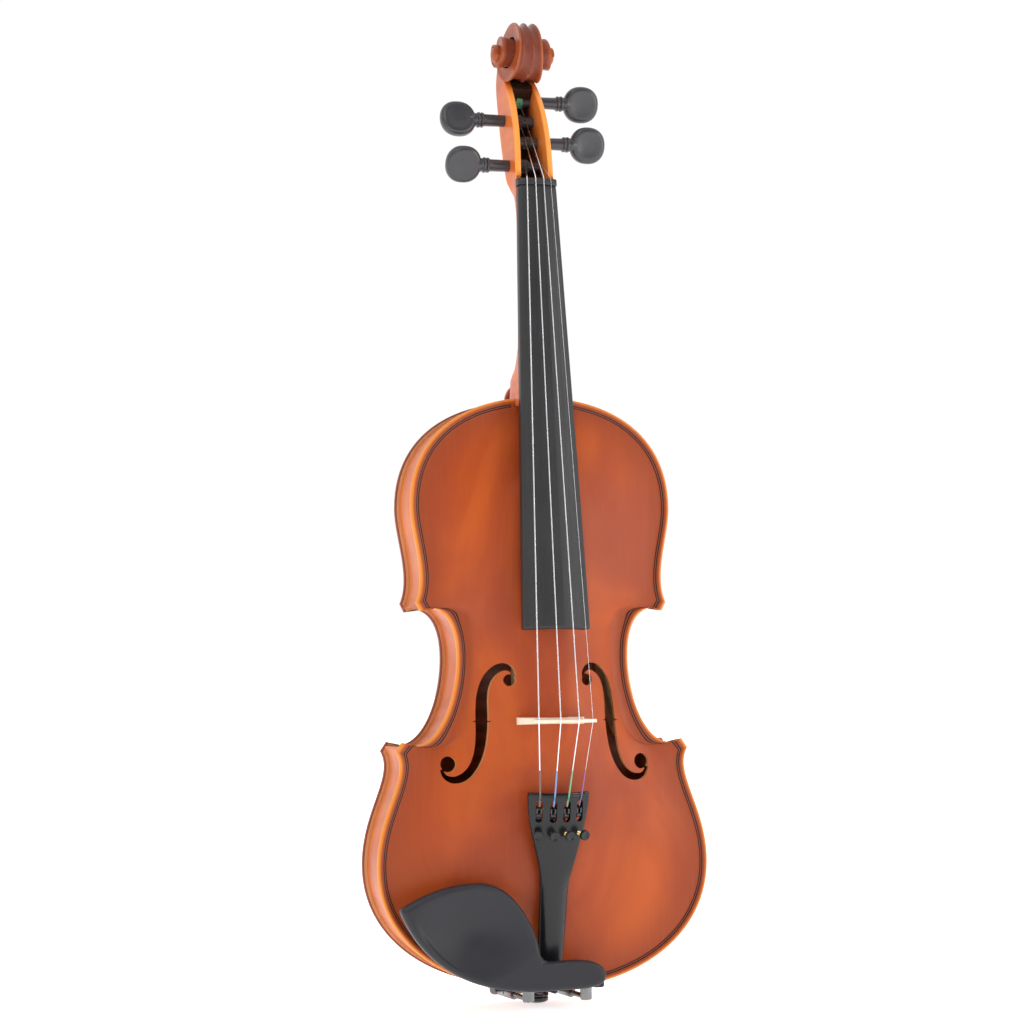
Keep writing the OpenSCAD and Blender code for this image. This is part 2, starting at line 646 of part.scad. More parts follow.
knob_out = 7.6;
knob_t = 2.6;
screw_end = pivot_y + 0.5 - 0.35;
module tuner_screw(i) on_tuner(i) translate([0, screw_end, screw_z]) rotate([90, 0, 0])
    cylinder(r = screw_r, h = screw_end + knob_out - knob_t - 0.3);
module tuner_screw_g() color(brass) place() tuner_screw(0);
module tuner_screw_d() color(brass) place() tuner_screw(1);
module tuner_screw_a() color(brass) place() tuner_screw(2);
module tuner_screw_e() color(brass) place() tuner_screw(3);

module tuner_knob(i) on_tuner(i) translate([0, knob_t - knob_out, screw_z]) rotate([90, 0, 0])
    difference() {
        cylinder(r = 3.1, h = knob_t);
        for (a = [0:30:330]) rotate([0, 0, a]) translate([3.35, 0, -1]) cylinder(r = 0.45, h = 9, $fn = 16);
    }
module tuner_knob_g() color(ebony) place() tuner_knob(0);
module tuner_knob_d() color(ebony) place() tuner_knob(1);
module tuner_knob_a() color(ebony) place() tuner_knob(2);
module tuner_knob_e() color(ebony) place() tuner_knob(3);

// ---- strings and tailgut ------------------------------------------------------------

// Direction of a cord at its point i, and a normal carried along from its first point
function along(p, i) = unit((i == 0 ? [0, 0, 0] : unit(p[i] - p[i - 1]))
    + (i == len(p) - 1 ? [0, 0, 0] : unit(p[i + 1] - p[i])));
function carried(p, i) = let (t = along(p, i))
    i == 0 ? unit(cross(t, [1, 0, 0])) : let (u = carried(p, i - 1)) unit(u - (u * t) * t);

CORD_SIDES = 10;
// A cord of radius r swept through the points
module cord(p, r) {
    n = CORD_SIDES;
    last = len(p) - 1;
    points = [for (i = [0:last]) let (t = along(p, i), u = carried(p, i), v = cross(t, u))
        for (j = [0:n - 1]) p[i] + r * (cos(360 * j / n) * u + sin(360 * j / n) * v)];
    sides = [for (i = [0:last - 1]) for (j = [0:n - 1]) let (m = (j + 1) % n)
        each [[i * n + j, (i + 1) * n + j, (i + 1) * n + m], [i * n + j, (i + 1) * n + m, i * n + m]]];
    polyhedron(points, concat([[for (j = [0:n - 1]) j]], sides, [[for (j = [n - 1:-1:0]) last * n + j]]));
}

function winding_point(i) = let (s = WINDING[i][0] + WINDING[i][1] / 2, p = PEGS[i])
    [p[0] * s, p[1] - (winding_r(i) + STRING_R[i] + 0.3) * cos(20),
        head_z + p[2] - (winding_r(i) + STRING_R[i] + 0.3) * sin(20)];
function nut_point(i, dz) = let (x = STRING_X_NUT[i],
    y = -nut_rise + sagitta(x, board_r) - STRING_R[i] * 0.7)
    [x, y * cos(nut_tilt) + dz * sin(nut_tilt), nut_z + dz * cos(nut_tilt) - y * sin(nut_tilt)];
function bridge_point(i) = let (x = STRING_X_BRIDGE[i])
    [x, bridge_y(x) - STRING_R[i] * 0.7, bridge_z];

module string(i) cord([
    winding_point(i), nut_point(i, nut_len - 2.5), nut_point(i, -2.5), bridge_point(i),
    tuner_point(i, -0.9 - STRING_R[i], -1.4), tuner_point(i, 1, pivot_z + 1.75)], STRING_R[i]);
module string_g() color(steel) place() string(0);
module string_d() color(steel) place() string(1);
module string_a() color(steel) place() string(2);
module string_e() color(steel) place() string(3);

gut_r = 0.9;
gut_half = 4.4;
gut_bend = button_neck + gut_r;
gut_z = button_head_z / 2;
function tail_point(x, y, z) = tail_top + [x, y * cos(tail_tilt) - z * sin(tail_tilt),
    y * sin(tail_tilt) + z * cos(tail_tilt)];

// From the tailpiece over the saddle to the button's neck, on the treble side
gut_run = [
    tail_point(gut_half, 3.2, -tail_len + 8), tail_point(gut_half, 3.2, -tail_len - 0.6),
    [gut_half, saddle_top - gut_r, 4.6], [gut_half + 0.1, saddle_top + 0.4, 0.2],
    [gut_half + 0.4, saddle_top + 3, gut_z], [gut_bend, button_y, gut_z]];
gut_loop = [for (a = [20:20:160]) [gut_bend * cos(a), button_y + gut_bend * sin(a), gut_z]];
module tailgut() color(ebony) place()
    cord(concat(gut_run, gut_loop, [for (q = flip(gut_run)) [-q[0], q[1], q[2]]]), gut_r);

// ---- chin rest ----------------------------------------------------------------------

rest_top = -27.5;
rest_under = -19.8;
// Outline of the cup and of the arm over the tailpiece, as [x, z]
REST = [
    [[-98, 52.5], [-85, 60], [-70, 66.8], [-50, 66.8]],
    [[-50, 66.8], [-32, 66.8], [-20, 50], [-13.4, 31]],
    [[-13.4, 31], [-12.6, 24], [-12.5, 19.4], [-5, 19.4]],
    [[-5, 19.4], [6, 19.4], [8, 20.4], [17, 19.4]],
    [[17, 19.4], [26, 18.2], [29.4, 13.5], [29, 9]],
    [[29, 9], [28.6, 3.4], [20, 2.3], [2, 2.3]],
    [[2, 2.3], [-45, -1.2], [-82, 13], [-98, 52.5]]];
cup_centre = [-52, -103, 40];
cup_r = 82;

// The two legs that stand on the front plate's edge, as [from x, to x]
REST_LEGS = [[-38, -23], [22.4, 28.4]];
LEG_Z = [3.2, 9.2];
leg_end = -2.4;
cork_t = 2.1;
module rest_leg(leg, y0, y1) {
    upright(y0, y1, [[leg[0], LEG_Z[0]], [leg[1], LEG_Z[0]], [leg[1], LEG_Z[1]], [leg[0], LEG_Z[1]]]);
}

module chin_rest() color(ebony) place() {
    difference() {
        upright(rest_top, rest_under, [for (s = REST) each curve(s, 7, 1)]);
        translate(cup_centre) sphere(r = cup_r, $fn = 96);
    }
    for (leg = REST_LEGS) rest_leg(leg, rest_under - 0.5, leg_end);
}
module chin_rest_cork() color(cork) place()
    for (leg = REST_LEGS) rest_leg(leg, leg_end + 0.02, leg_end + cork_t);

clamp_x = 18;
barrel_z = -2.6;
barrel_r = 2.9;
barrel_y = [8, 34];
stud_r = 1.6;
strap_w = 7;
strap_t = 1.5;
module stud(y0, y1) {
    both_sides() translate([clamp_x, y1, barrel_z]) rotate([90, 0, 0]) cylinder(r = stud_r, h = y1 - y0);
}

// Two straps under the rest, each with a boss that holds its stud
module clamp_bracket() color(steel) place() {
    both_sides() {
        translate([clamp_x - strap_w / 2, rest_under + 0.02, barrel_z - 1.9]) cube([strap_w, strap_t, 20]);
        translate([clamp_x, rest_under + 4, barrel_z]) rotate([90, 0, 0]) cylinder(r = 2.2, h = 3);
    }
    stud(rest_under + 2, barrel_y[0] + 6);
}

module clamp_barrel() translate([clamp_x, barrel_y[0], barrel_z]) rotate([-90, 0, 0]) difference() {
    cylinder(r = barrel_r, h = barrel_y[1] - barrel_y[0]);
    translate([0, 0, -1]) cylinder(r = stud_r + running, h = barrel_y[1]);
    // The hole for the turning key
    translate([0, 0, (barrel_y[1] - barrel_y[0]) / 2]) across(8, 0.9);
}
module clamp_barrel_treble() color(steel) place() clamp_barrel();
module clamp_barrel_bass() color(steel) place() mirror([1, 0, 0]) clamp_barrel();

foot_y0 = body_depth + cork_t;
foot_t = 1.6;
module clamp_foot() color(steel) place() {
    translate([-clamp_x - 5, foot_y0, barrel_z - 3]) cube([2 * clamp_x + 10, foot_t, 16]);
    stud(barrel_y[1] - 8, foot_y0 + 0.5);
}
// The cork's inner face leans away from the rising arch
module clamp_foot_cork() color(cork) place() translate([-clamp_x - 5, 0, 0]) rotate([90, 0, 90])
    linear_extrude(2 * clamp_x + 10) polygon([[body_depth + 0.05, 0.8], [body_depth + 0.05, 3.2],
        [body_depth + 0.85, 7.8], [foot_y0, 7.8], [foot_y0, 0.8]]);

// ---- output -------------------------------------------------------------------------

top_plate();
back_plate();
upper_rib_bass();
upper_rib_treble();
middle_rib_bass();
middle_rib_treble();
lower_rib_bass();
lower_rib_treble();
linings_top();
linings_back();
upper_block();
lower_block();
corner_blocks();
bass_bar();
sound_post();
purfling_top();
purfling_back();
neck();
fingerboard();
nut();
saddle();
end_button();
peg_g();
peg_d();
peg_a();
peg_e();
winding_g();
winding_d();
winding_a();
winding_e();
string_g();
string_d();
string_a();
string_e();
bridge();
tailpiece();
tailpiece_fret();
tailgut();
tuner_pins();
tuner_lever_g();
tuner_lever_d();
tuner_lever_a();
tuner_lever_e();
tuner_screw_g();
tuner_screw_d();
tuner_screw_a();
tuner_screw_e();
tuner_knob_g();
tuner_knob_d();
tuner_knob_a();
tuner_knob_e();
chin_rest();
chin_rest_cork();
clamp_bracket();
clamp_barrel_bass();
clamp_barrel_treble();
clamp_foot();
clamp_foot_cork();
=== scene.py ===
import itertools
import math

import bmesh
import bpy
import numpy as np
from mathutils import Matrix, Vector
from mathutils.kdtree import KDTree


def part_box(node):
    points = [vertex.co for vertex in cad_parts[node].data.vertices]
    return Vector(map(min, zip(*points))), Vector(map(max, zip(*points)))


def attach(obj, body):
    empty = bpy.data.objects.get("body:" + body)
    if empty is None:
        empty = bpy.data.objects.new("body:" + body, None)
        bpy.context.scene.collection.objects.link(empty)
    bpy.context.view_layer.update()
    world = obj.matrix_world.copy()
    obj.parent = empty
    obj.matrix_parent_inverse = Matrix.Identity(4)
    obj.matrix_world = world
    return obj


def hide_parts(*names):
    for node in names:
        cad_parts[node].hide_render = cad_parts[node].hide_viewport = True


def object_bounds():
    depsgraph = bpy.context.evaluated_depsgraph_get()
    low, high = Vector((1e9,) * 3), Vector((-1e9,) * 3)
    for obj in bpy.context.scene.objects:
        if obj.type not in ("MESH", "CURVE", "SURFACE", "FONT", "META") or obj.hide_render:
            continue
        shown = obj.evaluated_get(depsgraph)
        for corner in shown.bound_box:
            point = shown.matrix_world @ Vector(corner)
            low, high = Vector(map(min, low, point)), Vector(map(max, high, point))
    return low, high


# A full-size violin with a chin rest and four fine tuners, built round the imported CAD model.
# Shapes are worked out in millimetres in the CAD's building frame, where x is 0 on the middle
# line, y is 0 on the face of the front plate's edge and z is 0 at the body's lower edge.

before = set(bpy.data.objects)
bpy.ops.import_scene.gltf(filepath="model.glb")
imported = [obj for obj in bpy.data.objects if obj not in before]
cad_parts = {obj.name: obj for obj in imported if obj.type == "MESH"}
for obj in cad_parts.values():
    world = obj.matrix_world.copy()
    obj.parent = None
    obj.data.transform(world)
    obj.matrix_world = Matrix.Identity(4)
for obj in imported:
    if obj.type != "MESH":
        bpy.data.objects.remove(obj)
CAD_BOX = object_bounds()

MM = 0.001
EDGE_T = 4.0
BODY_LEN = 356.0
ORIGIN = Vector((0.0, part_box("upper_rib_bass")[0].y - EDGE_T * MM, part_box("back_plate")[0].z))

RIB_H = 31.0
BACK_Y = EDGE_T + RIB_H
DEPTH = BACK_Y + EDGE_T
OVERHANG, RIB_T = 2.7, 1.25
NUT_Z = 488.0
HEAD_Z = NUT_Z - 1.5
BOARD_LEN = 272.0
STRINGS = "gdae"
X_AXIS, Y_AXIS, Z_AXIS = (1, 0, 0), (0, 1, 0), (0, 0, 1)


# ---- curves ---------------------------------------------------------------------------

def bez(p, t):
    """Points of a cubic Bezier curve at t, a number or an array."""
    p = np.asarray(p, float)
    t = np.asarray(t, float)[..., None]
    s = 1 - t
    return s**3 * p[0] + 3 * s * s * t * p[1] + 3 * s * t * t * p[2] + t**3 * p[3]


def smooth(a, b, x):
    """0 before a, 1 past b, and a smooth step between them."""
    u = np.clip((np.asarray(x, float) - a) / (b - a), 0, 1)
    return u * u * (3 - 2 * u)


def step(a, b, x):
    """The smooth step at one number."""
    return float(smooth(a, b, x))


def unit(rows):
    return rows / np.maximum(np.linalg.norm(rows, axis=-1), 1e-9)[..., None]


def around(count):
    """Angles of count points round a circle."""
    return np.linspace(0, 2 * np.pi, count, endpoint=False)


def direction(degrees):
    return np.array([math.cos(math.radians(degrees)), math.sin(math.radians(degrees))])


def polyline(points, count):
    """A smooth open curve through the points, with count points at even spacing."""
    p = np.asarray(points, float)
    knots = np.concatenate([[0], np.cumsum(np.linalg.norm(np.diff(p, axis=0), axis=1))])
    slope = np.gradient(p, knots, axis=0)
    t = np.linspace(0, knots[-1], count)
    i = np.clip(np.searchsorted(knots, t, side="right") - 1, 0, len(p) - 2)
    h = (knots[i + 1] - knots[i])[:, None]
    u = ((t - knots[i])[:, None]) / h
    return ((2 * u**3 - 3 * u**2 + 1) * p[i] + (u**3 - 2 * u**2 + u) * h * slope[i]
            + (3 * u**2 - 2 * u**3) * p[i + 1] + (u**3 - u**2) * h * slope[i + 1])


def arc(cx, cz, r, a0, a1, n):
    """Points of an arc, angles in degrees."""
    a = np.radians(np.linspace(a0, a1, n))
    return np.stack([cx + r * np.cos(a), cz + r * np.sin(a)], 1)


def rounded_box(x0, x1, z0, z1, r, n=5):
    """A rounded rectangle, with n points at each corner."""
    corners = (x1 - r, z1 - r), (x0 + r, z1 - r), (x0 + r, z0 + r), (x1 - r, z0 + r)
    return np.concatenate([arc(x, z, r, 90 * k, 90 * k + 90, n)
                           for k, (x, z) in enumerate(corners)])


def inset(outline, d):
    """A closed 2D outline moved inwards by d."""
    p = np.asarray(outline, float)
    a, b = unit(p - np.roll(p, 1, axis=0)), unit(np.roll(p, -1, axis=0) - p)
    na, nb = np.stack([-a[:, 1], a[:, 0]], 1), np.stack([-b[:, 1], b[:, 0]], 1)
    n = unit(na + nb)
    x, z = p[:, 0], p[:, 1]
    area = np.sum(x * np.roll(z, -1) - np.roll(x, -1) * z)
    stretch = 1 / np.maximum(np.sum(n * nb, axis=1), 0.5)
    return p + n * (d * stretch * (1 if area > 0 else -1))[:, None]


def at_height(outline, y, axis=1):
    """A 2D outline as a ring of points at one height along an axis."""
    return np.insert(outline, axis, y, axis=1)


def mirrored(half, signs):
    """A closed ring from its half, whose first and last points lie on the middle line."""
    return np.concatenate([half, half[-2:0:-1] * signs])


# ---- meshes ---------------------------------------------------------------------------

SHARP = 38
MERGE = 1e-7


def raw_object(name, verts, faces, merge=False):
    """An object from millimetre vertices, with its faces turned outwards."""
    mesh = bpy.data.meshes.new(name)
    v = np.asarray(verts, float) * MM + np.array(ORIGIN)
    mesh.from_pydata(v.tolist(), [], [list(map(int, f)) for f in faces])
    bm = bmesh.new()
    if merge:
        mesh.validate()
    bm.from_mesh(mesh)
    if merge:
        bmesh.ops.remove_doubles(bm, verts=bm.verts, dist=MERGE)
    bmesh.ops.recalc_face_normals(bm, faces=bm.faces)
    bm.to_mesh(mesh)
    bm.free()
    obj = bpy.data.objects.new(name, mesh)
    bpy.context.scene.collection.objects.link(obj)
    return obj


def shade(obj, sharp=SHARP):
    """Smooth shading; edges sharper than the angle in degrees stay sharp."""
    obj.data.polygons.foreach_set("use_smooth", [True] * len(obj.data.polygons))
    if sharp is not None:
        obj.data.set_sharp_from_angle(angle=math.radians(sharp))


def piece(name, verts, faces, materials, body="root", replaces=None, slot=None, sharp=SHARP):
    """A shaded piece that rides on a body; its slot is worked out but not used."""
    obj = raw_object(name, verts, faces, True)
    shade(obj, sharp)
    for m in materials if isinstance(materials, list) else [materials]:
        obj.data.materials.append(m)
    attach(obj, body)
    if replaces:
        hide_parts(replaces)
    # Blender adds a suffix where the frame already has a material of that name
    slot or obj.data.materials[0].name.split(".")[0]
    return obj


def ring_faces(n, m, caps=True):
    """Faces of m closed rings of n points each."""
    faces = [[r * n + i, r * n + (i + 1) % n, (r + 1) * n + (i + 1) % n, (r + 1) * n + i]
             for r in range(m - 1) for i in range(n)]
    if caps:
        faces += [list(range(n))[::-1], [(m - 1) * n + i for i in range(n)]]
    return faces


class Shape:
    """Vertices and faces of several closed parts in one piece."""

    def __init__(self):
        self.verts = []
        self.faces = []

    def add(self, verts, faces):
        first = len(self.verts)
        self.verts.extend(np.asarray(verts, float).tolist())
        self.faces.extend([[first + i for i in f] for f in faces])
        return self

    def loft(self, rings):
        rings = [np.asarray(r, float) for r in rings]
        return self.add(np.concatenate(rings), ring_faces(len(rings[0]), len(rings)))

    def tube(self, path, radius, sides=12):
        """A cord along a path, with a normal carried from its first point."""
        p = np.asarray(path, float)
        d = np.gradient(p, axis=0)
        d /= np.linalg.norm(d, axis=1)[:, None]
        r = np.broadcast_to(np.asarray(radius, float), (len(p),))
        u = np.cross(d[0], X_AXIS)
        if np.linalg.norm(u) < 0.1:
            u = np.cross(d[0], Y_AXIS)
        a = around(sides)[:, None]
        rings = []
        for k in range(len(p)):
            u = u - (u @ d[k]) * d[k]
            u /= np.linalg.norm(u)
            rings.append(p[k] + r[k] * (np.cos(a) * u + np.sin(a) * np.cross(d[k], u)))
        return self.loft(rings)

    def lathe(self, profile, origin, axis, side, steps=48):
        """A turned shape: profile is [radius, distance along axis], closed on the axis."""
        origin, axis, side = (np.asarray(v, float) for v in (origin, axis, side))
        a = around(steps)[:, None]
        spokes = np.cos(a) * side + np.sin(a) * np.cross(axis, side)
        return self.loft([origin + h * axis + max(r, 1e-3) * spokes for r, h in profile])

    def slab(self, outline, low, high, bevel=0.4, axis=1):
        """An outline raised between two heights, with rounded edges all round."""
        o = np.asarray(outline, float)
        inner, mid = inset(o, bevel), inset(o, bevel * 0.3)
        return self.loft([at_height(p, h, axis) for p, h in (
            (inner, low), (mid, low + bevel * 0.3), (o, low + bevel),
            (o, high - bevel), (mid, high - bevel * 0.3), (inner, high))])

    def make(self, name, material, **kw):
        return piece(name, self.verts, self.faces, material, **kw)

    def cutter(self):
        return raw_object("cutter", self.verts, self.faces)


def cut(obj, cutter):
    """Takes the cutter's volume out of obj, and removes the cutter."""
    mod = obj.modifiers.new("cut", "BOOLEAN")
    mod.operation, mod.solver, mod.object = "DIFFERENCE", "EXACT", cutter
    dg = bpy.context.evaluated_depsgraph_get()
    mesh = bpy.data.meshes.new_from_object(obj.evaluated_get(dg))
    obj.modifiers.remove(mod)
    obj.data = mesh
    bpy.data.objects.remove(cutter)


# ---- materials ------------------------------------------------------------------------

class Mat:
    """A procedural material: texture nodes in object space that feed one Principled shader."""

    def __init__(self, name, color, rough, metal=0.0, spec=0.5, coat=0.0, coat_rough=0.2,
                 sheen=0.0):
        self.mat = bpy.data.materials.new(name)
        self.mat.use_nodes = True
        self.nodes, self.links = self.mat.node_tree.nodes, self.mat.node_tree.links
        self.nodes.clear()
        self.bsdf = self.node("BsdfPrincipled", {
            "Base Color": (*color, 1), "Roughness": rough, "Metallic": metal,
            "Specular IOR Level": spec, "Coat Weight": coat, "Coat Roughness": coat_rough,
            "Sheen Weight": sheen})
        self.node("OutputMaterial", {0: self.bsdf.outputs[0]})
        self.place = self.node("TexCoord").outputs["Object"]
        self.normal = None

    def node(self, kind, values=(), **settings):
        """A new node with its settings made, and its inputs given values or links."""
        n = self.nodes.new("ShaderNode" + kind)
        for key, value in settings.items():
            setattr(n, key, value)
        for key, value in dict(values).items():
            if isinstance(value, bpy.types.NodeSocket):
                self.links.new(value, n.inputs[key])
            else:
                n.inputs[key].default_value = value
        return n

    def coords(self, scale):
        """Object coordinates in metres, multiplied by scale."""
        return self.node("Mapping", {"Scale": scale, "Vector": self.place}).outputs[0]

    def noise(self, scale, detail=3.0, rough=0.55, distort=0.0):
        return self.node("TexNoise", {
            "Scale": 1.0, "Detail": detail, "Roughness": rough, "Distortion": distort,
            "Vector": self.coords(scale)}).outputs[0]

    def bands(self, scale, axis, distort, detail, detail_scale=1.0):
        return self.node("TexWave", {
            "Scale": 1.0, "Distortion": distort, "Detail": detail,
            "Detail Scale": detail_scale, "Vector": self.coords(scale)},
            wave_type="BANDS", bands_direction=axis).outputs["Fac"]

    def attribute(self, name):
        return self.node("Attribute", attribute_name=name).outputs["Fac"]

    def range(self, value, a, b, lo=0.0, hi=1.0):
        """A smooth step from lo to hi as the value goes from a to b."""
        return self.node("MapRange", {
            "From Min": a, "From Max": b, "To Min": lo, "To Max": hi, "Value": value},
            interpolation_type="SMOOTHSTEP").outputs[0]

    def times(self, a, b):
        return self.node("Math", {0: a, 1: b}, operation="MULTIPLY").outputs[0]

    def mix(self, share, a, b):
        """Colour a where share is 0 and b where it is 1."""
        a, b = ((*c, 1) if isinstance(c, tuple) else c for c in (a, b))
        return self.node("Mix", {0: share, 6: a, 7: b}, data_type="RGBA").outputs[2]

    def veil(self, under, value, a, b, share, over):
        """Lays up to a share of one colour over another as the value goes from a to b."""
        return self.mix(self.times(self.range(value, a, b), share), under, over)

    def color(self, socket):
        self.links.new(socket, self.bsdf.inputs["Base Color"])

    def rough(self, value, lo, hi):
        """Roughness between lo and hi, following the value."""
        self.links.new(self.range(value, 0.3, 0.7, lo, hi), self.bsdf.inputs["Roughness"])

    def bump(self, height, strength, distance):
        """Adds a layer of bump; distance is in metres."""
        values = {"Strength": strength, "Distance": distance, "Height": height}
        if self.normal is not None:
            values["Normal"] = self.normal
        self.normal = self.node("Bump", values).outputs[0]
        self.links.new(self.normal, self.bsdf.inputs["Normal"])


def scaled(color, factor, lift=0.0):
    return tuple(v * factor + lift for v in color)


def front_varnish():
    """Spruce under a satin sunburst: fine upright grain, darker edges, brighter blotches, and a
    painted highlight along the outer edge.
    """
    m = Mat("front_varnish", (0.5, 0.09, 0.02), 0.42, spec=0.2, coat=0.14, coat_rough=0.36)
    grain = m.bands((820, 30, 3), "X", 3.0, 2.0, 0.6)
    fine = m.noise((2600, 200, 26))
    blotch = m.range(m.noise((13, 13, 8), 4, distort=0.8), 0.34, 0.68)
    c = m.mix(blotch, (0.34, 0.050, 0.011), (0.51, 0.092, 0.013))
    c = m.mix(m.range(m.attribute("edge"), 0.02, 0.30, 1.0, 0.0), c, (0.29, 0.049, 0.013))
    c = m.veil(c, grain, 0.25, 0.85, 0.14, (0.18, 0.022, 0.004))
    c = m.veil(c, fine, 0.5, 0.75, 0.07, (0.75, 0.20, 0.03))
    # Painted highlight: a bright yellow-orange band along the plate's outer edge
    m.color(m.mix(m.attribute("rim"), c, (0.80, 0.25, 0.03)))
    m.rough(m.noise((60, 60, 30)), 0.34, 0.44)
    m.bump(grain, 0.06, 0.00004)
    m.bump(m.noise((200, 200, 120), 2), 0.05, 0.0001)
    return m.mat


def maple(name, base, dark, light, rim, upright=True, flame=0.5, rough=0.4, coat=0.25):
    """Varnished maple with cross flames and short flecks."""
    m = Mat(name, base, rough, spec=0.25, coat=coat, coat_rough=0.3)
    scale, axis = ((14, 14, 34), "Z") if upright else ((60, 26, 14), "X")
    stripes = m.bands(scale, axis, 5.5, 2.0, 1.3)
    pores = m.noise((1500, 1500, 110))
    c = m.veil(base, stripes, 0.25, 0.8, flame, dark)
    c = m.veil(c, m.noise((18, 18, 12), 2), 0.4, 0.7, 0.45, light)
    c = m.veil(c, pores, 0.56, 0.72, 0.22, dark)
    # Painted light along the edges (a highlight on the neck, a shadow line on the back plate), the
    # scroll's darker band, and the pegbox's black-stained cavity with painted shade under the
    # scroll
    for layer, color in (("rim", rim), ("band", (0.19, 0.040, 0.018)),
                         ("deep", (0.022, 0.010, 0.006))):
        c = m.mix(m.attribute(layer), c, color)
    m.color(c)
    m.rough(m.noise((70, 70, 40)), rough - 0.06, rough + 0.07)
    m.bump(pores, 0.10, 0.00005)
    m.bump(m.noise((240, 240, 140), 2), 0.10, 0.00012)
    return m.mat


def black_wood(name, base, rough, streak=0.35, coat=0.0):
    """Ebony or dyed hardwood: charcoal with fine lengthwise streaks."""
    m = Mat(name, base, rough, spec=0.35, coat=coat, coat_rough=0.25)
    streaks, worn = m.noise((900, 900, 22), 4, 0.6), m.noise((40, 40, 16))
    c = m.veil(base, streaks, 0.45, 0.7, streak, scaled(base, 1.7, 0.004))
    m.color(m.veil(c, worn, 0.45, 0.75, 0.25, scaled(base, 1.3)))
    m.rough(worn, rough - 0.05, rough + 0.06)
    m.bump(streaks, 0.06, 0.00004)
    return m.mat


def moulded(name, base, rough, grain=0.15, coat=0.0):
    """Moulded or sprayed plastic and paint: a fine even skin with faint unevenness."""
    m = Mat(name, base, rough, spec=0.35, coat=coat, coat_rough=0.12)
    broad = m.noise((45, 45, 45))
    m.color(m.veil(base, broad, 0.35, 0.7, 0.35, scaled(base, 1.35, 0.003)))
    m.rough(broad, rough - 0.05, rough + 0.06)
    m.bump(m.noise((2400, 2400, 2400), 2), grain, 0.00004)
    return m.mat


def metal(name, base, rough):
    """Polished or plated metal with hairline scratches and dulled patches."""
    m = Mat(name, base, rough, metal=1.0)
    dull = m.noise((160, 160, 160))
    m.color(m.veil(base, dull, 0.45, 0.75, 0.3, scaled(base, 0.72)))
    m.rough(dull, rough - 0.06, rough + 0.1)
    m.bump(m.noise((1200, 1200, 72), 3, 0.6), 0.1, 0.00002)
    return m.mat


def string_metal(name, base):
    """Round string with its flat wire winding showing as fine rings."""
    m = Mat(name, base, 0.26, metal=1.0)
    worn = m.noise((300, 300, 60))
    m.color(m.mix(m.range(worn, 0.4, 0.7), base, scaled(base, 0.82)))
    m.rough(worn, 0.2, 0.36)
    m.bump(m.bands((0, 0, 1570), "Z", 0.0, 0.0), 0.25, 0.00003)
    return m.mat


def thread(name, base):
    """Silk wrapped round the end of a string."""
    m = Mat(name, base, 0.62, sheen=0.4)
    wraps = m.bands((6, 6, 700), "Z", 0.6, 1.0)
    m.color(m.mix(m.range(wraps, 0.2, 0.8), base, scaled(base, 0.55)))
    m.bump(wraps, 0.5, 0.00005)
    return m.mat


def bare_wood(name, base, dark, along, across, flecks=0.1):
    """Unvarnished wood with grain along its length and rays across it."""
    m = Mat(name, base, 0.6)
    grain = m.noise(along, 4, 0.6)
    c = m.veil(base, grain, 0.42, 0.68, 0.5, dark)
    m.color(m.veil(c, m.noise(across, 2), 0.58, 0.7, flecks, scaled(dark, 0.6)))
    m.rough(grain, 0.52, 0.68)
    m.bump(grain, 0.2, 0.00008)
    return m.mat


def cork_grain():
    """Cork: fine cells with darker specks."""
    m = Mat("cork", (0.50, 0.30, 0.16), 0.85)
    cells, specks = m.noise((1400, 1400, 1400), 3, 0.7), m.noise((420, 420, 420), 2)
    c = m.mix(m.range(cells, 0.4, 0.65), (0.42, 0.24, 0.12), (0.62, 0.40, 0.23))
    m.color(m.mix(m.range(specks, 0.62, 0.7), c, (0.14, 0.07, 0.03)))
    m.bump(cells, 0.6, 0.0001)
    return m.mat


FRONT = front_varnish()
# The back's fifth colour paints a shadow line along the plate's edge
BACK = maple("back_varnish", (0.40, 0.068, 0.010), (0.19, 0.026, 0.005), (0.54, 0.125, 0.02),
             (0.24, 0.034, 0.010))
RIB = maple("rib_varnish", (0.58, 0.132, 0.030), (0.36, 0.060, 0.012), (0.68, 0.18, 0.04),
            (0.6, 0.17, 0.04), False, 0.3, 0.36, 0.15)
# The neck's fifth colour paints highlights on the edges of the pegbox and scroll and on the
# pegbox's inner walls
NECK = maple("neck_varnish", (0.66, 0.120, 0.012), (0.44, 0.062, 0.007), (0.80, 0.21, 0.025),
             (0.90, 0.32, 0.06), True, 0.25, 0.34, 0.15)
PURFLING = black_wood("purfling", (0.004, 0.003, 0.002), 0.6)
EBONY = black_wood("ebony", (0.028, 0.027, 0.028), 0.42, 0.22)
PEG_WOOD = black_wood("peg_ebony", (0.036, 0.035, 0.040), 0.36, 0.15, 0.4)
REST_BLACK = moulded("rest_black", (0.020, 0.020, 0.025), 0.46, 0.08)
TAIL_BLACK = moulded("tail_black", (0.008, 0.008, 0.010), 0.24, 0.0, 0.1)
BUTTON_BLACK = moulded("button_black", (0.008, 0.008, 0.009), 0.12, 0.0, 0.6)
KNOB_BLACK = moulded("knob_black", (0.016, 0.016, 0.017), 0.3, 0.05)
GUT = moulded("gut_black", (0.012, 0.012, 0.013), 0.32, 0.1)
LEVER_BLACK = metal("lever_black", (0.07, 0.07, 0.075), 0.3)
CLAMP_STEEL = metal("clamp_steel", (0.22, 0.225, 0.23), 0.26)
BRASS = metal("screw_brass", (0.88, 0.64, 0.24), 0.22)
CORK = cork_grain()
SPRUCE_GRAIN = (900, 900, 20), (200, 200, 700)
BRIDGE_WOOD = bare_wood("bridge_maple", (0.90, 0.77, 0.62), (0.80, 0.62, 0.44),
                        (20, 900, 900), (700, 200, 200), 0.12)
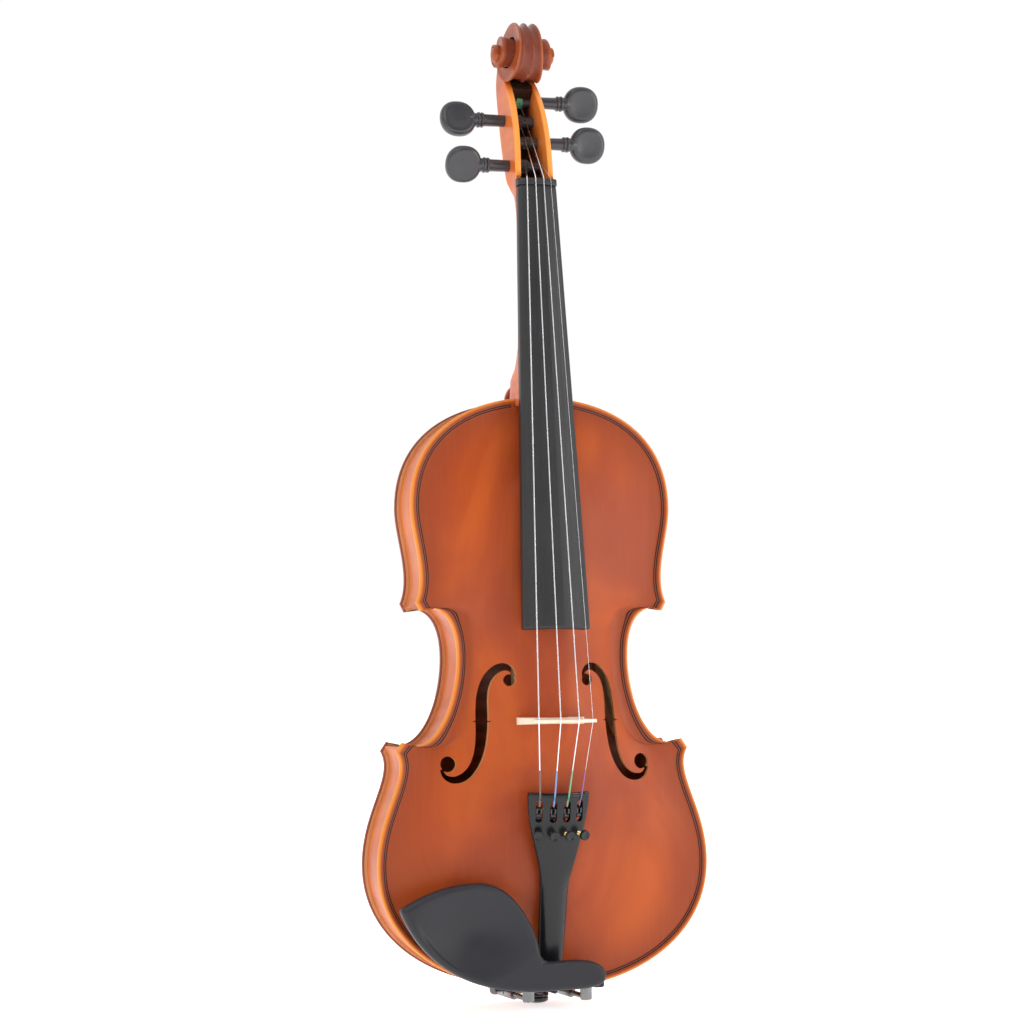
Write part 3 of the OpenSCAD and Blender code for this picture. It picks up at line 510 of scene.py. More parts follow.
SPRUCE_EDGE = bare_wood("spruce_edge", (0.62, 0.30, 0.12), (0.45, 0.18, 0.06), *SPRUCE_GRAIN)
BARE_SPRUCE = bare_wood("bare_spruce", (0.70, 0.50, 0.28), (0.52, 0.33, 0.16), *SPRUCE_GRAIN)
STRING = string_metal("string_steel", (0.88, 0.88, 0.90))
DARK_THREAD = thread("silk_dark", (0.030, 0.026, 0.026))
SILK = {s: thread(f"silk_{s}", color) for s, color in zip(STRINGS, (
    (0.20, 0.15, 0.14), (0.16, 0.42, 0.80), (0.16, 0.55, 0.30), (0.34, 0.20, 0.52)))}


# ---- the body's outline and its arches ------------------------------------------------

# Half widths of the upper bout, the waist and the lower bout
UB, WB, LB = 82.0, 54.0, 104.0
OUTLINE = [
    [[0, 356], [45, 356], [UB, 335], [UB, 289.5]],
    [[UB, 289.5], [UB, 272], [UB - 10.5, 249], [UB - 2.8, 232]],
    [[UB - 5.3, 227], [UB - 10, 230.5], [WB, 231], [WB, 199]],
    [[WB, 199], [WB, 172], [WB + 14, 138.5], [LB - 15.5, 149]],
    [[LB - 11.8, 143.5], [LB - 21.2, 128], [LB, 108], [LB, 75]],
    [[LB, 75], [LB, 30], [60, 0], [0, 0]]]
RIDGE = [[300, 282], [282, 246], [238, 199], [199, 130], [122, 84], [84, 62]]
FINE = 26


def whole_outline():
    """The closed outline from the top centre round the treble side, and its ridge heights."""
    pts, ridge = [], []
    for s, seg in enumerate(OUTLINE):
        t = np.arange(s % 2, FINE + 1) / FINE
        pts.append(bez(seg, t))
        ridge.append(RIDGE[s][0] + (RIDGE[s][1] - RIDGE[s][0]) * t)
    p, ridge = np.concatenate(pts), np.concatenate(ridge)
    return mirrored(p, [-1, 1]), mirrored(ridge, 1)


def blur(values, sigma):
    """Gaussian blur of a closed row of points, sigma in points."""
    if sigma < 0.3:
        return values
    n = len(values)
    k = np.arange(n)
    kernel = np.exp(-0.5 * (np.minimum(k, n - k) / sigma) ** 2)
    spectrum = np.fft.fft(kernel / kernel.sum())[:, None]
    return np.real(np.fft.ifft(np.fft.fft(values, axis=0) * spectrum, axis=0))


# The edge's section, as distance in from the outline and height behind the outer face
EDGE_RAILS = [(0.95, 4.0), (0.45, 3.85), (0.12, 3.4), (0.0, 2.7), (0.0, 1.6), (0.12, 0.85),
              (0.45, 0.25), (1.0, -0.05), (1.7, -0.12), (2.4, -0.06), (3.1, 0.10),
              (3.8, 0.32), (4.5, 0.48), (5.4, 0.58), (6.6, 0.55), (8.0, 0.40)]
LAST_IN, CHANNEL = EDGE_RAILS[-1]
INNER_RAILS, SUMMIT = 34, 0.965
# The rails that the inner face and the bridge's feet start from, and the edge's glued part
FIRST_INNER, GLUED = 10, 0.13
EDGE_REACH = 80
PLATE_T = 3.0
FRONT_RISE, BACK_RISE = 12.0, 11.0


def arch_height(u, rise):
    """Height behind the outer face, from the channel at u = 0 to the summit at u = 1."""
    return CHANNEL - (rise + CHANNEL) * np.sin(np.pi / 2 * np.clip(u * 1.06, 0, 1)) ** 1.42


def long_arch(z):
    """Share of the full arch height: full near the middle of the body, less at its ends."""
    return 1 - 0.24 * np.clip(np.abs(z - 175.0) / 130.0, 0, 1.2) ** 2.4


def way_in(outline, inwards):
    """The length of each point's way inwards, and the share of it square to the outline."""
    length = np.linalg.norm(inwards, axis=1)
    tangent = unit(np.roll(outline, -1, axis=0) - np.roll(outline, 1, axis=0))
    return length, np.abs(inwards[:, 0] * tangent[:, 1] - inwards[:, 1] * tangent[:, 0]) / length


def inward_share(outline, ridge, d):
    """How far each outline point moves towards the ridge to be d in from the outline."""
    length, square = way_in(outline, np.stack([-outline[:, 0], ridge - outline[:, 1]], 1))
    return d / (length * blur(np.maximum(square, 0.45)[:, None], 2.0)[:, 0])


def rail(outline, ridge, share):
    x, z = outline.T
    return np.stack([x * (1 - share), z * (1 - share) + ridge * share], 1)


def plate_rails(rise):
    """Rails of the outer face from the glued edge in, as (points, height, share, share of painted
    light at the edge).
    """
    outline, ridge = whole_outline()
    rails = [(blur(rail(outline, ridge, inward_share(outline, ridge, d)), max(0, d - 5) * 0.5),
              y, d / EDGE_REACH, 1 - step(0.3, 2.4, d)) for d, y in EDGE_RAILS]
    start, near = inward_share(outline, ridge, LAST_IN), LAST_IN / EDGE_REACH
    for u in np.linspace(0, 1, INNER_RAILS + 1)[1:]:
        p = blur(rail(outline, ridge, start + (SUMMIT - start) * u), 1.5 + 15 * min(u * 2.2, 1))
        rails.append((p, arch_height(u, rise * long_arch(p[:, 1])), near + u * (1 - near), 0.0))
    return rails


def surface_height(rails, x, z):
    """Height of a plate's outer face at a point, from the nearest rail points."""
    pts = np.concatenate([r[0] for r in rails[FIRST_INNER:]])
    ys = np.concatenate([np.zeros(len(r[0])) + r[1] for r in rails[FIRST_INNER:]])
    d = np.hypot(pts[:, 0] - x, pts[:, 1] - z)
    near = np.argsort(d)[:6]
    w = 1 / (d[near] + 0.02) ** 2
    return float((ys[near] * w).sum() / w.sum())


def paint(obj, verts, layers):
    """Stores values at the vertices for the materials, from the nearest of the shape's points."""
    tree = KDTree(len(verts))
    for i, v in enumerate(np.asarray(verts) * MM + np.array(ORIGIN)):
        tree.insert(v, i)
    tree.balance()
    near = [tree.find_n(v.co, 3) for v in obj.data.vertices]
    for layer, values in layers.items():
        att = obj.data.attributes.get(layer) or obj.data.attributes.new(layer, "FLOAT", "POINT")
        out = [sum(values[i] / (d + 1e-6) for _, i, d in n) / sum(1 / (d + 1e-6) for _, i, d in n)
               for n in near]
        att.data.foreach_set("value", np.array(out, np.float32))


def plate(name, rise, material, flipped, cutters=(), **kw):
    """An arched plate, closed: outer face, rounded edge and hollowed inner face."""
    rails = plate_rails(rise)
    n = len(rails[0][0])
    rings = [at_height(p, y) for p, y, _, _ in rails[::-1]]
    edge, rim = [share for _, _, share, _ in rails[::-1]], [r for _, _, _, r in rails[::-1]]
    for p, y, share, _ in rails[FIRST_INNER:]:
        rings.append(at_height(p, EDGE_T if share < GLUED else np.minimum(y + PLATE_T, EDGE_T)))
        edge.append(1.0)
        rim.append(0.0)
    verts = np.concatenate(rings)
    if flipped:
        verts[:, 1] = DEPTH - verts[:, 1]
    faces = ring_faces(n, len(rings), False)
    for base in (0, (len(rings) - 1) * n):
        for i in range(n // 2):
            quad = [base + i, base + i + 1, base + (n - i - 1) % n, base + (n - i) % n]
            faces.append(list(dict.fromkeys(quad)))
    obj = piece(name, verts, faces, [material, SPRUCE_EDGE], **kw)
    limit = (EDGE_T - 0.01) * MM
    for f in obj.data.polygons:
        depth = [obj.data.vertices[i].co.y - ORIGIN.y for i in f.vertices]
        depth = [DEPTH * MM - y for y in depth] if flipped else depth
        if min(depth) > limit:
            f.material_index = 1
    for c in cutters:
        cut(obj, c)
    shade(obj, 42)
    # The outer face, the edge and the first ring inside it carry the varnish's darker edge and the
    # painted light at the edge: a highlight on the front plate, a shadow line on the back plate
    painted = (len(rails) + 1) * n
    paint(obj, verts[:painted], {"edge": np.repeat(edge, n)[:painted],
                                 "rim": np.repeat(rim, n)[:painted]})
    return rails


# ---- front plate, back plate, purfling ------------------------------------------------

F_STEM = [
    [[22, 187.6], [22, 193], [27.5, 195.4], [32.6, 191.2]],
    [[32.6, 191.2], [40.8, 184.6], [40, 171], [40.4, 161.5]],
    [[40.4, 161.5], [40.9, 151], [41.6, 138], [49.2, 130.2]],
    [[49.2, 130.2], [54.4, 125], [63.6, 124.8], [64.6, 132.8]]]
F_WIDTH = [1.3, 2.7, 3.7, 2.7, 1.3]
F_EYES = [(24.4, 185.4, 3.6), (60.9, 135.9, 4.7)]
F_NICK = np.array([[34.9, 161.0], [40.4, 162.6], [45.9, 161.0], [40.4, 159.4]])


def prism(outline, y0=-FRONT_RISE - 3, y1=EDGE_T + 2):
    """A cutter for the front plate that leaves bare spruce, the plate's second material."""
    obj = Shape().loft([at_height(outline, y0), at_height(outline, y1)]).cutter()
    for _ in range(2):
        obj.data.materials.append(SPRUCE_EDGE)
    obj.data.polygons.foreach_set("material_index", [1] * len(obj.data.polygons))
    return obj


def f_cutters():
    """What is cut away for both sound holes: the stems, their eyes and the nicks at the stop."""
    t = np.linspace(0, 1, 15)
    mid = np.concatenate([bez(s, t if k == 0 else t[1:]) for k, s in enumerate(F_STEM)])
    width = np.concatenate([(a + (b - a) * smooth(0, 1, t))[min(k, 1):]
                            for k, (a, b) in enumerate(zip(F_WIDTH, F_WIDTH[1:]))])
    stem = np.concatenate([offset_line(mid, width), offset_line(mid, -width)[::-1]])
    eyes = [arc(x, z, r, 0, 351, 40) for x, z, r in F_EYES]
    return [prism(o * [sign, 1]) for sign in (1, -1) for o in (stem, *eyes, F_NICK)]


def heel_and_saddle_cutters():
    """The notches in the front plate for the neck's heel and for the saddle."""
    return [prism(rounded_box(-16.6, 16.6, BODY_LEN - 6, BODY_LEN + 4, 0.3), -3, 9),
            prism(rounded_box(-17.0, 17.0, -4, 6.5, 0.3), -3, 9)]


# The two dark strips of the purfling, as distances in from the outline
PURFLING_STRIPS = [(3.3, 3.95), (4.45, 5.1)]


def purfling(name, flipped, replaced):
    """Inlaid strips that follow the outline, a hair proud of the plate."""
    outline, ridge = whole_outline()
    places, heights = zip(*EDGE_RAILS[4:])
    shape, n = Shape(), len(outline)
    for d0, d1 in PURFLING_STRIPS:
        ring = []
        for d, lift in ((d0, 0.3), (d0, -0.04), (d1, -0.04), (d1, 0.3)):
            p = rail(outline, ridge, inward_share(outline, ridge, d))
            y = float(np.interp(d, places, heights)) + lift
            ring.append(at_height(p, DEPTH - y if flipped else y))
        faces = []
        for i in range(n):
            j = (i + 1) % n
            # The heel and the saddle interrupt the front plate's purfling
            if not flipped and min(abs(outline[i][0]), abs(outline[j][0])) < 17:
                continue
            faces += [[i * 4 + k, j * 4 + k, j * 4 + (k + 1) % 4, i * 4 + (k + 1) % 4]
                      for k in range(4)]
        shape.add(np.stack(ring, 1).reshape(-1, 3), faces)
    shape.make(name, PURFLING, replaces=replaced, sharp=30)


def back_button():
    """The back plate's round tab, which covers the foot of the heel."""
    r = 11
    curve = arc(0, BODY_LEN + 1, r, 180, 0, 25)
    foot = [[12.5, BODY_LEN + 0.5], [13.4, BODY_LEN - 4],
            [-13.4, BODY_LEN - 4], [-12.5, BODY_LEN + 0.5]]
    outline = np.concatenate([curve, foot])[::-1]
    Shape().slab(outline, BACK_Y, DEPTH, 0.7).make("back_button", BACK)


# ---- ribs -----------------------------------------------------------------------------

def offset_line(pts, d):
    """An open line moved d to its right-hand side."""
    t = unit(np.gradient(pts, axis=0))
    return pts + np.stack([t[:, 1], -t[:, 0]], 1) * np.broadcast_to(d, len(pts))[:, None]


def crossing(a, b):
    """Where the end of line a meets the start of line b, as the two trimmed lines."""
    best = None
    for i in range(len(a) - 2, len(a) // 2, -1):
        for j in range(0, len(b) // 2):
            p, r, q, s = a[i], a[i + 1] - a[i], b[j], b[j + 1] - b[j]
            den = r[0] * s[1] - r[1] * s[0]
            if abs(den) < 1e-9:
                continue
            u = ((q - p)[0] * s[1] - (q - p)[1] * s[0]) / den
            v = ((q - p)[0] * r[1] - (q - p)[1] * r[0]) / den
            if 0 <= u <= 1 and 0 <= v <= 1:
                best = (i, j, p + u * r)
    if best is None:
        meet = (a[-1] + b[0]) / 2
        return np.concatenate([a, [meet]]), np.concatenate([[meet], b])
    i, j, meet = best
    return np.concatenate([a[:i + 1], [meet]]), np.concatenate([[meet], b[j + 1:]])


def bout_lines(d):
    """The treble side's three bouts, d in from the outline and mitred at the corners."""
    t = np.linspace(0, 1, 41)
    lines = [offset_line(np.concatenate([bez(OUTLINE[k], t), bez(OUTLINE[k + 1], t[1:])]), d)
             for k in (0, 2, 4)]
    upper, middle = crossing(lines[0], lines[1])
    middle, lower = crossing(middle, lines[2])
    return [upper, middle, lower]


def rib_strips():
    """The six bent ribs, mitred at the corners."""
    outer, inner = bout_lines(OVERHANG), bout_lines(OVERHANG + RIB_T)
    rows = [EDGE_T + 0.02, EDGE_T + 5, EDGE_T + 15.5, EDGE_T + 26, BACK_Y - 0.02]
    for side, sign in (("treble", 1), ("bass", -1)):
        for bout, a, b in zip(("upper", "middle", "lower"), outer, inner):
            if bout == "upper":
                a, b = a[a[:, 0] > 15.6], b[b[:, 0] > 15.6]
            loop = np.concatenate([a, b[::-1]]) * [sign, 1]
            Shape().loft([at_height(loop, y) for y in rows]).make(
                f"{bout}_rib_{side}_strip", RIB, replaces=f"{bout}_rib_{side}", sharp=35)


front_rails = plate("front_plate", FRONT_RISE, FRONT, False,
                    f_cutters() + heel_and_saddle_cutters(),
                    replaces="top_plate")
plate("rear_plate", BACK_RISE, BACK, True, replaces="back_plate")
back_button()
purfling("front_purfling", False, "purfling_top")
purfling("rear_purfling", True, "purfling_back")
rib_strips()


# ---- neck, pegbox and scroll ----------------------------------------------------------

BOARD_SLOPE = 0.1185
TILT = math.atan(BOARD_SLOPE)
BOARD_R, NUT_HALF, END_HALF, BOARD_EDGE = 42.0, 12.0, 21.0, 5.0


def sagitta(x, r):
    """How far a circle of radius r drops below its crown at x."""
    return r - np.sqrt(r * r - np.square(x))


UNDER_NUT = float(sagitta(NUT_HALF, BOARD_R)) + BOARD_EDGE
UNDER_SLOPE = BOARD_SLOPE + (UNDER_NUT - BOARD_EDGE - float(sagitta(END_HALF, BOARD_R))) / BOARD_LEN


def under_board(z):
    """Depth of the face where the neck is glued to the board."""
    return UNDER_NUT - UNDER_SLOPE * (NUT_Z - z)


def on_board(x, y, z):
    """From the board's own axes, where z = 0 is the nut and y = 0 the crown."""
    x, y, z = np.broadcast_arrays(np.asarray(x, float), y, z)
    return np.stack([x, y * math.cos(TILT) + z * math.sin(TILT),
                     NUT_Z + z * math.cos(TILT) - y * math.sin(TILT)], -1)


# Sections of the neck: height, half width, depth behind the board, squareness and taper
NECK_TABLE = [
    [BODY_LEN - 5.9, 16.4, 42.4, 0.5, 0.34], [BODY_LEN, 16.2, 41.6, 0.5, 0.34],
    [BODY_LEN + 11.5, 15.8, 40.4, 0.55, 0.34], [BODY_LEN + 14.5, 15.6, 37, 0.6, 0.34],
    [BODY_LEN + 18, 15.4, 29.5, 0.7, 0.28], [BODY_LEN + 23, 15.2, 22, 0.8, 0.16],
    [BODY_LEN + 30, 14.4, 17.2, 0.9, 0.06], [BODY_LEN + 40, 14.0, 15.2, 1, 0],
    [BODY_LEN + 75, 13.0, 14.3, 1, 0], [BODY_LEN + 105, 12.1, 13.3, 1, 0],
    [BODY_LEN + 114, 12.0, 13.1, 1, 0]]
BACK_LINE = [[11.5, -12], [27, -2], [38, 19], [50, 57]]
NAPE_LINE = [[50, 57], [54, 69], [54, 77], [50.3, 83.5]]
FRONT_LINE = [[6.3, -6], [6.2, 20], [9, 47], [34.4, 68.6]]
CHEEK_LINE = [[12.2, -16], [11.6, 44], [9.8, 67], [8.6, 96]]
EYE = np.array([29.0, 83.5])
# Half width of the scroll along its turns, in degrees from the back over the top
TURN_WIDTH = [(0, 8.9), (60, 6.9), (110, 6.5), (180, 7.6), (270, 10.4), (360, 12.9), (450, 14.5),
              (540, 16.0), (630, 17.2), (720, 18.2), (810, 18.9), (900, 19.2)]
CHEEK_POINTS, ROUND_POINTS, FRONT_POINTS = 15, 8, 10
# Wood left behind the pegbox's cavity
FLOOR_T = 6.2


def turn_r(a):
    """Radius of the scroll's outer edge after a turn of a degrees."""
    return 5 + 16.25 * np.exp(-(np.asarray(a, float) / 480) ** 1.8)


def half_ring(back, front, half, flute, floor, wall_half, bulge=0.0):
    """One half of a section from the back's ridge to the middle of the front or cavity floor."""
    low, high, lip = 0.045, 0.96, 0.985
    p = [(u * (half - 0.9), math.sin(math.pi * min(u * 1.06, 1.0)) ** 0.8 * flute / 12)
         for u in np.linspace(0, 1, ROUND_POINTS)]
    p += [(half - 0.35, 0.012), (half, low)]
    p += [(half + bulge * math.sin(math.pi * u), low + (high - low) * u)
          for u in np.linspace(0, 1, CHEEK_POINTS + 1)[1:]]
    p += [(half - 0.4, 0.99), (half - 1.0, 1.0), (wall_half + 0.5, 1.0), (wall_half, lip)]
    p += [(wall_half, lip + (floor - lip) * u) for u in (0.34, 0.67, 1.0)]
    p += [(wall_half * u, floor) for u in (0.66, 0.33, 0.0)]
    back, front = np.asarray(back, float), np.asarray(front, float)
    return np.array([[x, *(back + (front - back) * q)] for x, q in p])


def round_half_ring(z, half, depth, power, taper, count):
    """A neck section with the same number of points: a flat front under a rounded back."""
    a = np.radians(np.linspace(90, 0, count - FRONT_POINTS))
    c, s = np.cos(a), np.sin(a)
    x = half * c ** power * (1 - taper * s)
    y = np.minimum(BACK_Y - 0.05, under_board(z) + 0.05 + depth * s ** power)
    flat = np.array([0.97, 0.92, 0.78, 0.74, 0.73, 0.72, 0.71, 0.47, 0.23, 0])
    x = np.concatenate([x, half * flat])
    y = np.concatenate([y, np.full(FRONT_POINTS, under_board(z) + 0.05)])
    return np.stack([x, y, np.full(len(x), z - HEAD_Z)], 1)


def whole_ring(half):
    return mirrored(half, [-1, 1, 1]) + [0, 0, HEAD_Z]


def cheek_half(z):
    """Half width over the pegbox's cheeks at a height over HEAD_Z."""
    line = bez(CHEEK_LINE, np.linspace(0, 1, 200))
    return float(np.interp(z, line[:, 1], line[:, 0]))


def shaft_sections(count):
    """The heel and the shaft up to the pegbox."""
    table = np.array(NECK_TABLE)
    for z in np.concatenate([np.linspace(table[0, 0], BODY_LEN + 11, 6),
                             np.linspace(BODY_LEN + 11.5, BODY_LEN + 42, 22),
                             np.linspace(BODY_LEN + 46, BODY_LEN + 113, 16)]):
        values = [float(np.interp(z, table[:, 0], table[:, k])) for k in range(1, 5)]
        yield round_half_ring(z, *values, count), 0.0, 0.0, 0.0


def pegbox_sections(count):
    """The pegbox, with its cavity between two cheeks."""
    cavity_ends = [0.138, 0.146, 0.905, 0.915]
    for t in np.sort(np.concatenate([np.linspace(0.0, 1.0, 50), cavity_ends])):
        back, front = bez(BACK_LINE, 0.13 + 0.87 * t), bez(FRONT_LINE, t)
        if t < 0.14:
            front = np.array([under_board(HEAD_Z + front[1]) + 0.05, front[1]])
        half = cheek_half((back[1] + front[1]) / 2)
        deep = step(0.135, 0.149, t) * (1 - step(0.90, 0.92, t))
        thick = np.linalg.norm(front - back)
        ring = half_ring(back, front, half, 24 * step(0.12, 0.55, t) / thick,
                         1 - deep * (1 - FLOOR_T / thick), half - 3.2 - 0.6 * t)
        shaft = round_half_ring(HEAD_Z - 14 + 40 * t, 12.3, 13.1 + 22 * t, 1, 0, count)
        blend = np.where(np.arange(count) < count - FRONT_POINTS, step(0.0, 0.30, t),
                         step(0.0, 0.12, t))[:, None]
        # The second value darkens the black-stained cavity and paints shade on the floor under the
        # scroll; the last paints highlights on the edges
        yield (shaft * (1 - blend) + ring * blend, max(deep, step(0.8, 0.9, t) * 1.8), 0.0,
               step(0.1, 0.2, t) * (1 - step(0.8, 0.98, t)))


def scroll_sections():
    """The nape, where the first turn of the scroll begins, and the turns down to its eye."""
    for t in np.linspace(0, 1, 12)[1:]:
        a = 290 + 70 * t
        front, back = EYE + (turn_r(a) - 0.3) * direction(a), bez(NAPE_LINE, t)
        half = cheek_half((back[1] + front[1]) / 2)
        half += (TURN_WIDTH[0][1] - half) * step(0.3, 1, t)
        ring = half_ring(back, front, half, 24.0 / np.linalg.norm(front - back), 1.0, half * 0.5)
        # The second value paints shade under the scroll on the nape's first rings; the last paints
        # highlights on the edges
        yield ring, 1.8 * (1 - t) ** 2, 0.3 + 0.4 * t, 0.15
    turns, widths = zip(*TURN_WIDTH)
    for a in np.arange(8, 905, 8):
        out, inn = float(turn_r(a)), float(turn_r(a + 360)) - 0.3
        half = float(np.interp(a, turns, widths))
        flute = min(24 * (1 - 0.55 * step(300, 600, a)) / (out - inn), 3.2)
        # The last value paints highlights on the turns' edges
        yield (half_ring(EYE + out * direction(a), EYE + inn * direction(a), half, flute, 1.0,
                         half * 0.5, -0.5 * step(60, 200, a)),
               0.0, 0.7 + 0.3 * step(0, 60, a), 0.15)


def neck():
    """One skin from the heel through the shaft and the pegbox to the middle of the scroll."""
    rings, looks = [], []
    count = len(half_ring([0, 0], [1, 0], 12, 0, 1, 8))
    edge = count - FRONT_POINTS
    for half, cavity, turn, edges in itertools.chain(shaft_sections(count), pegbox_sections(count),
                                                     scroll_sections()):
        # Painted highlights on the edges and on the pegbox's inner walls, the scroll's dark band,
        # and the cavity's black stain with painted shade under the scroll
        rim, band, deep = np.zeros(count), np.full(count, turn * 0.7), np.zeros(count)
        rim[edge - 1:edge + 3] = edges
        rim[edge + 3:edge + 6] = edges * 0.8
        rim[ROUND_POINTS - 1:ROUND_POINTS + 2] = edges * 0.7
        band[:ROUND_POINTS - 1] = turn
        deep[edge + 3:] = np.minimum(cavity * np.array([0.0, 0.0, 0.35, 0.9, 1.0, 1.0, 1.0]), 1)
        rings.append(whole_ring(half))
        looks.append([mirrored(v, 1) for v in (rim, band, deep)])
    # The eye's button on both sides
    profile = [(0.01, 20.0), (1.6, 19.9), (3.2, 19.5), (4.3, 18.8), (5.3, 17.4)]
    profile = [(r, -h) for r, h in profile] + profile[::-1]
    shape = Shape().loft(rings)
    shape.lathe(profile, (0, EYE[0], HEAD_Z + EYE[1]), X_AXIS, Y_AXIS, 40)
    obj = shape.make("neck_and_scroll", NECK, replaces="neck", sharp=32)
    paint(obj, np.concatenate(rings), {layer: np.concatenate([look[k] for look in looks])
                                       for k, layer in enumerate(("rim", "band", "deep"))})


# ---- fingerboard, nut, saddle ---------------------------------------------------------

def fingerboard():
    """The board, crowned on top and hollowed below where it leaves the neck."""
    rings = []
    length = BOARD_LEN / math.cos(TILT)
    shrinks = [0.55, 0.22, 0.05]
    stations = [-2.55, -2.9, -3.6, *np.linspace(-6, -length + 2.2, 30),
                -length + 0.9, -length + 0.3, -length + 0.06]
    for k, z in enumerate(stations):
        shrink = (shrinks + [0.0])[min(k, len(stations) - 1 - k, len(shrinks))]
        half = NUT_HALF - (END_HALF - NUT_HALF) * z / length - shrink
        top_x = np.linspace(-1, 1, 25) * (half - 0.75)
        top = np.stack([top_x, sagitta(top_x, BOARD_R) + shrink], 1)
        side_y = float(sagitta(half, BOARD_R)) + shrink
        corner = np.array([[half - 0.22, side_y + 0.25], [half, side_y + 0.85]])
        base = under_board(NUT_Z + z * math.cos(TILT)) - z * math.sin(TILT)
        base = base / math.cos(TILT) - shrink
        under_x = np.linspace(1, -1, 15) * (half - 3.6)
        hollow = np.minimum(6.5 + sagitta(np.abs(under_x), BOARD_R - 6.5), base)
        under = np.stack([under_x, base + (hollow - base) * step(-138, -141, z)], 1)
        foot = np.array([[half, base - 0.5], [half - 0.4, base]])
        ring = np.concatenate([corner[::-1] * [-1, 1], top, corner, foot, under,
                               foot[::-1] * [-1, 1]])
        rings.append(on_board(ring[:, 0], ring[:, 1], z))
    Shape().loft(rings).make("playing_board", EBONY, replaces="fingerboard", sharp=40)


STRING_R = dict(zip(STRINGS, (0.4, 0.36, 0.34, 0.14)))
NUT_RISE = 1.0
NUT_X = dict(zip(STRINGS, (-7.3, -2.0, 3.2, 8.0)))
BRIDGE_X = dict(zip(STRINGS, (-17.0, -4.6, 7.0, 16.6)))


def nut():
    """The nut, rounded towards the pegs, with a shallow groove for each string."""
    half = NUT_HALF + 0.4
    x = np.linspace(-half, half, 121)
    groove = sum(np.exp(-((x - NUT_X[s]) / (STRING_R[s] * 1.15)) ** 2) * STRING_R[s] * 0.9
                 for s in STRINGS)
    edge = 0.8 * smooth(half - 0.9, half, np.abs(x)) ** 2
    rings = []
    base = UNDER_NUT - 0.4
    for z, drop in [(-2.5, 0.5), (-2.2, 0.12), (-1.5, 0.0), (0.2, 0.05), (1.1, 0.35),
                    (1.7, 0.95), (1.9, 1.9)]:
        top = sagitta(x, BOARD_R) - NUT_RISE + drop + edge + groove
        ring = np.concatenate([np.stack([x, top], 1), [[half, base], [-half, base]]])
        rings.append(on_board(ring[:, 0], ring[:, 1], z))
    Shape().loft(rings).make("nut_bar", EBONY, replaces="nut")


def saddle():
    """The block under the tailgut, rounded over its top and dropping at its ends."""
    a = np.radians(np.linspace(90, -90, 15))
    side = np.concatenate([[[EDGE_T - 0.05, 0.1], [EDGE_T - 0.05, 6.4]],
                           np.stack([-1.5 - 3 * np.cos(a), 3.25 + 3.15 * np.sin(a)], 1)])
    ends = [(-16.9, 1.6), (-16.6, 1.0), (-15.6, 0.4), (-13, 0.05)]
    rings = []
    for x, drop in ends + [(0, 0)] + [(-x, drop) for x, drop in ends[::-1]]:
        ring = side.copy()
        ring[2:, 0] = np.minimum(ring[2:, 0] + drop, EDGE_T - 0.1)
        rings.append(at_height(ring, x, 0))
    Shape().loft(rings).make("end_saddle", EBONY, replaces="saddle")


# ---- end button -----------------------------------------------------------------------

BUTTON_Y = EDGE_T + RIB_H / 2


def end_button():
    """The end button: a pin in the block, a neck for the tailgut and a grooved, domed head."""
    profile = [(0.01, 17), (3.4, 17), (3.6, 3.0), (4.4, 2.6), (4.4, -2.2), (4.7, -2.45),
               (5.4, -2.6), (6.2, -2.75), (6.8, -3.0), (7.0, -3.5), (7.0, -4.6), (6.75, -4.85),
               (6.7, -5.05), (6.9, -5.35), (6.95, -6.6)]
    profile += [(6.95 * math.cos(t), -6.8 - 2.6 * math.sin(t))
                for t in np.radians(np.linspace(8, 88, 11))] + [(0.01, -9.4)]
    Shape().lathe(profile, (0, BUTTON_Y, 0), Z_AXIS, X_AXIS, 64).make(
        "end_knob", BUTTON_BLACK, replaces="end_button", slot="ebony")


# ---- pegs and the string wound on them ------------------------------------------------

# Each peg's side, depth, height over HEAD_Z and the turn of its head in degrees
PEGS = dict(zip(STRINGS, ((-1, 21.8, 13.4, 22), (-1, 32.5, 43.2, -16), (1, 38, 56.7, 14),
                          (1, 26.5, 29.1, 12))))
# Where the turns of string start along the peg, and their length
WINDING = dict(zip(STRINGS, ((-0.5, 5.4), (-0.5, 5.0), (-2.5, 4.6), (-1.5, 4.4))))
HEAD_X = 40.6


def peg_radius(s):
    """A peg's radius at a distance from the middle line: it thickens 1 mm in 30."""
    return 3.6 + (s - 12) / 60


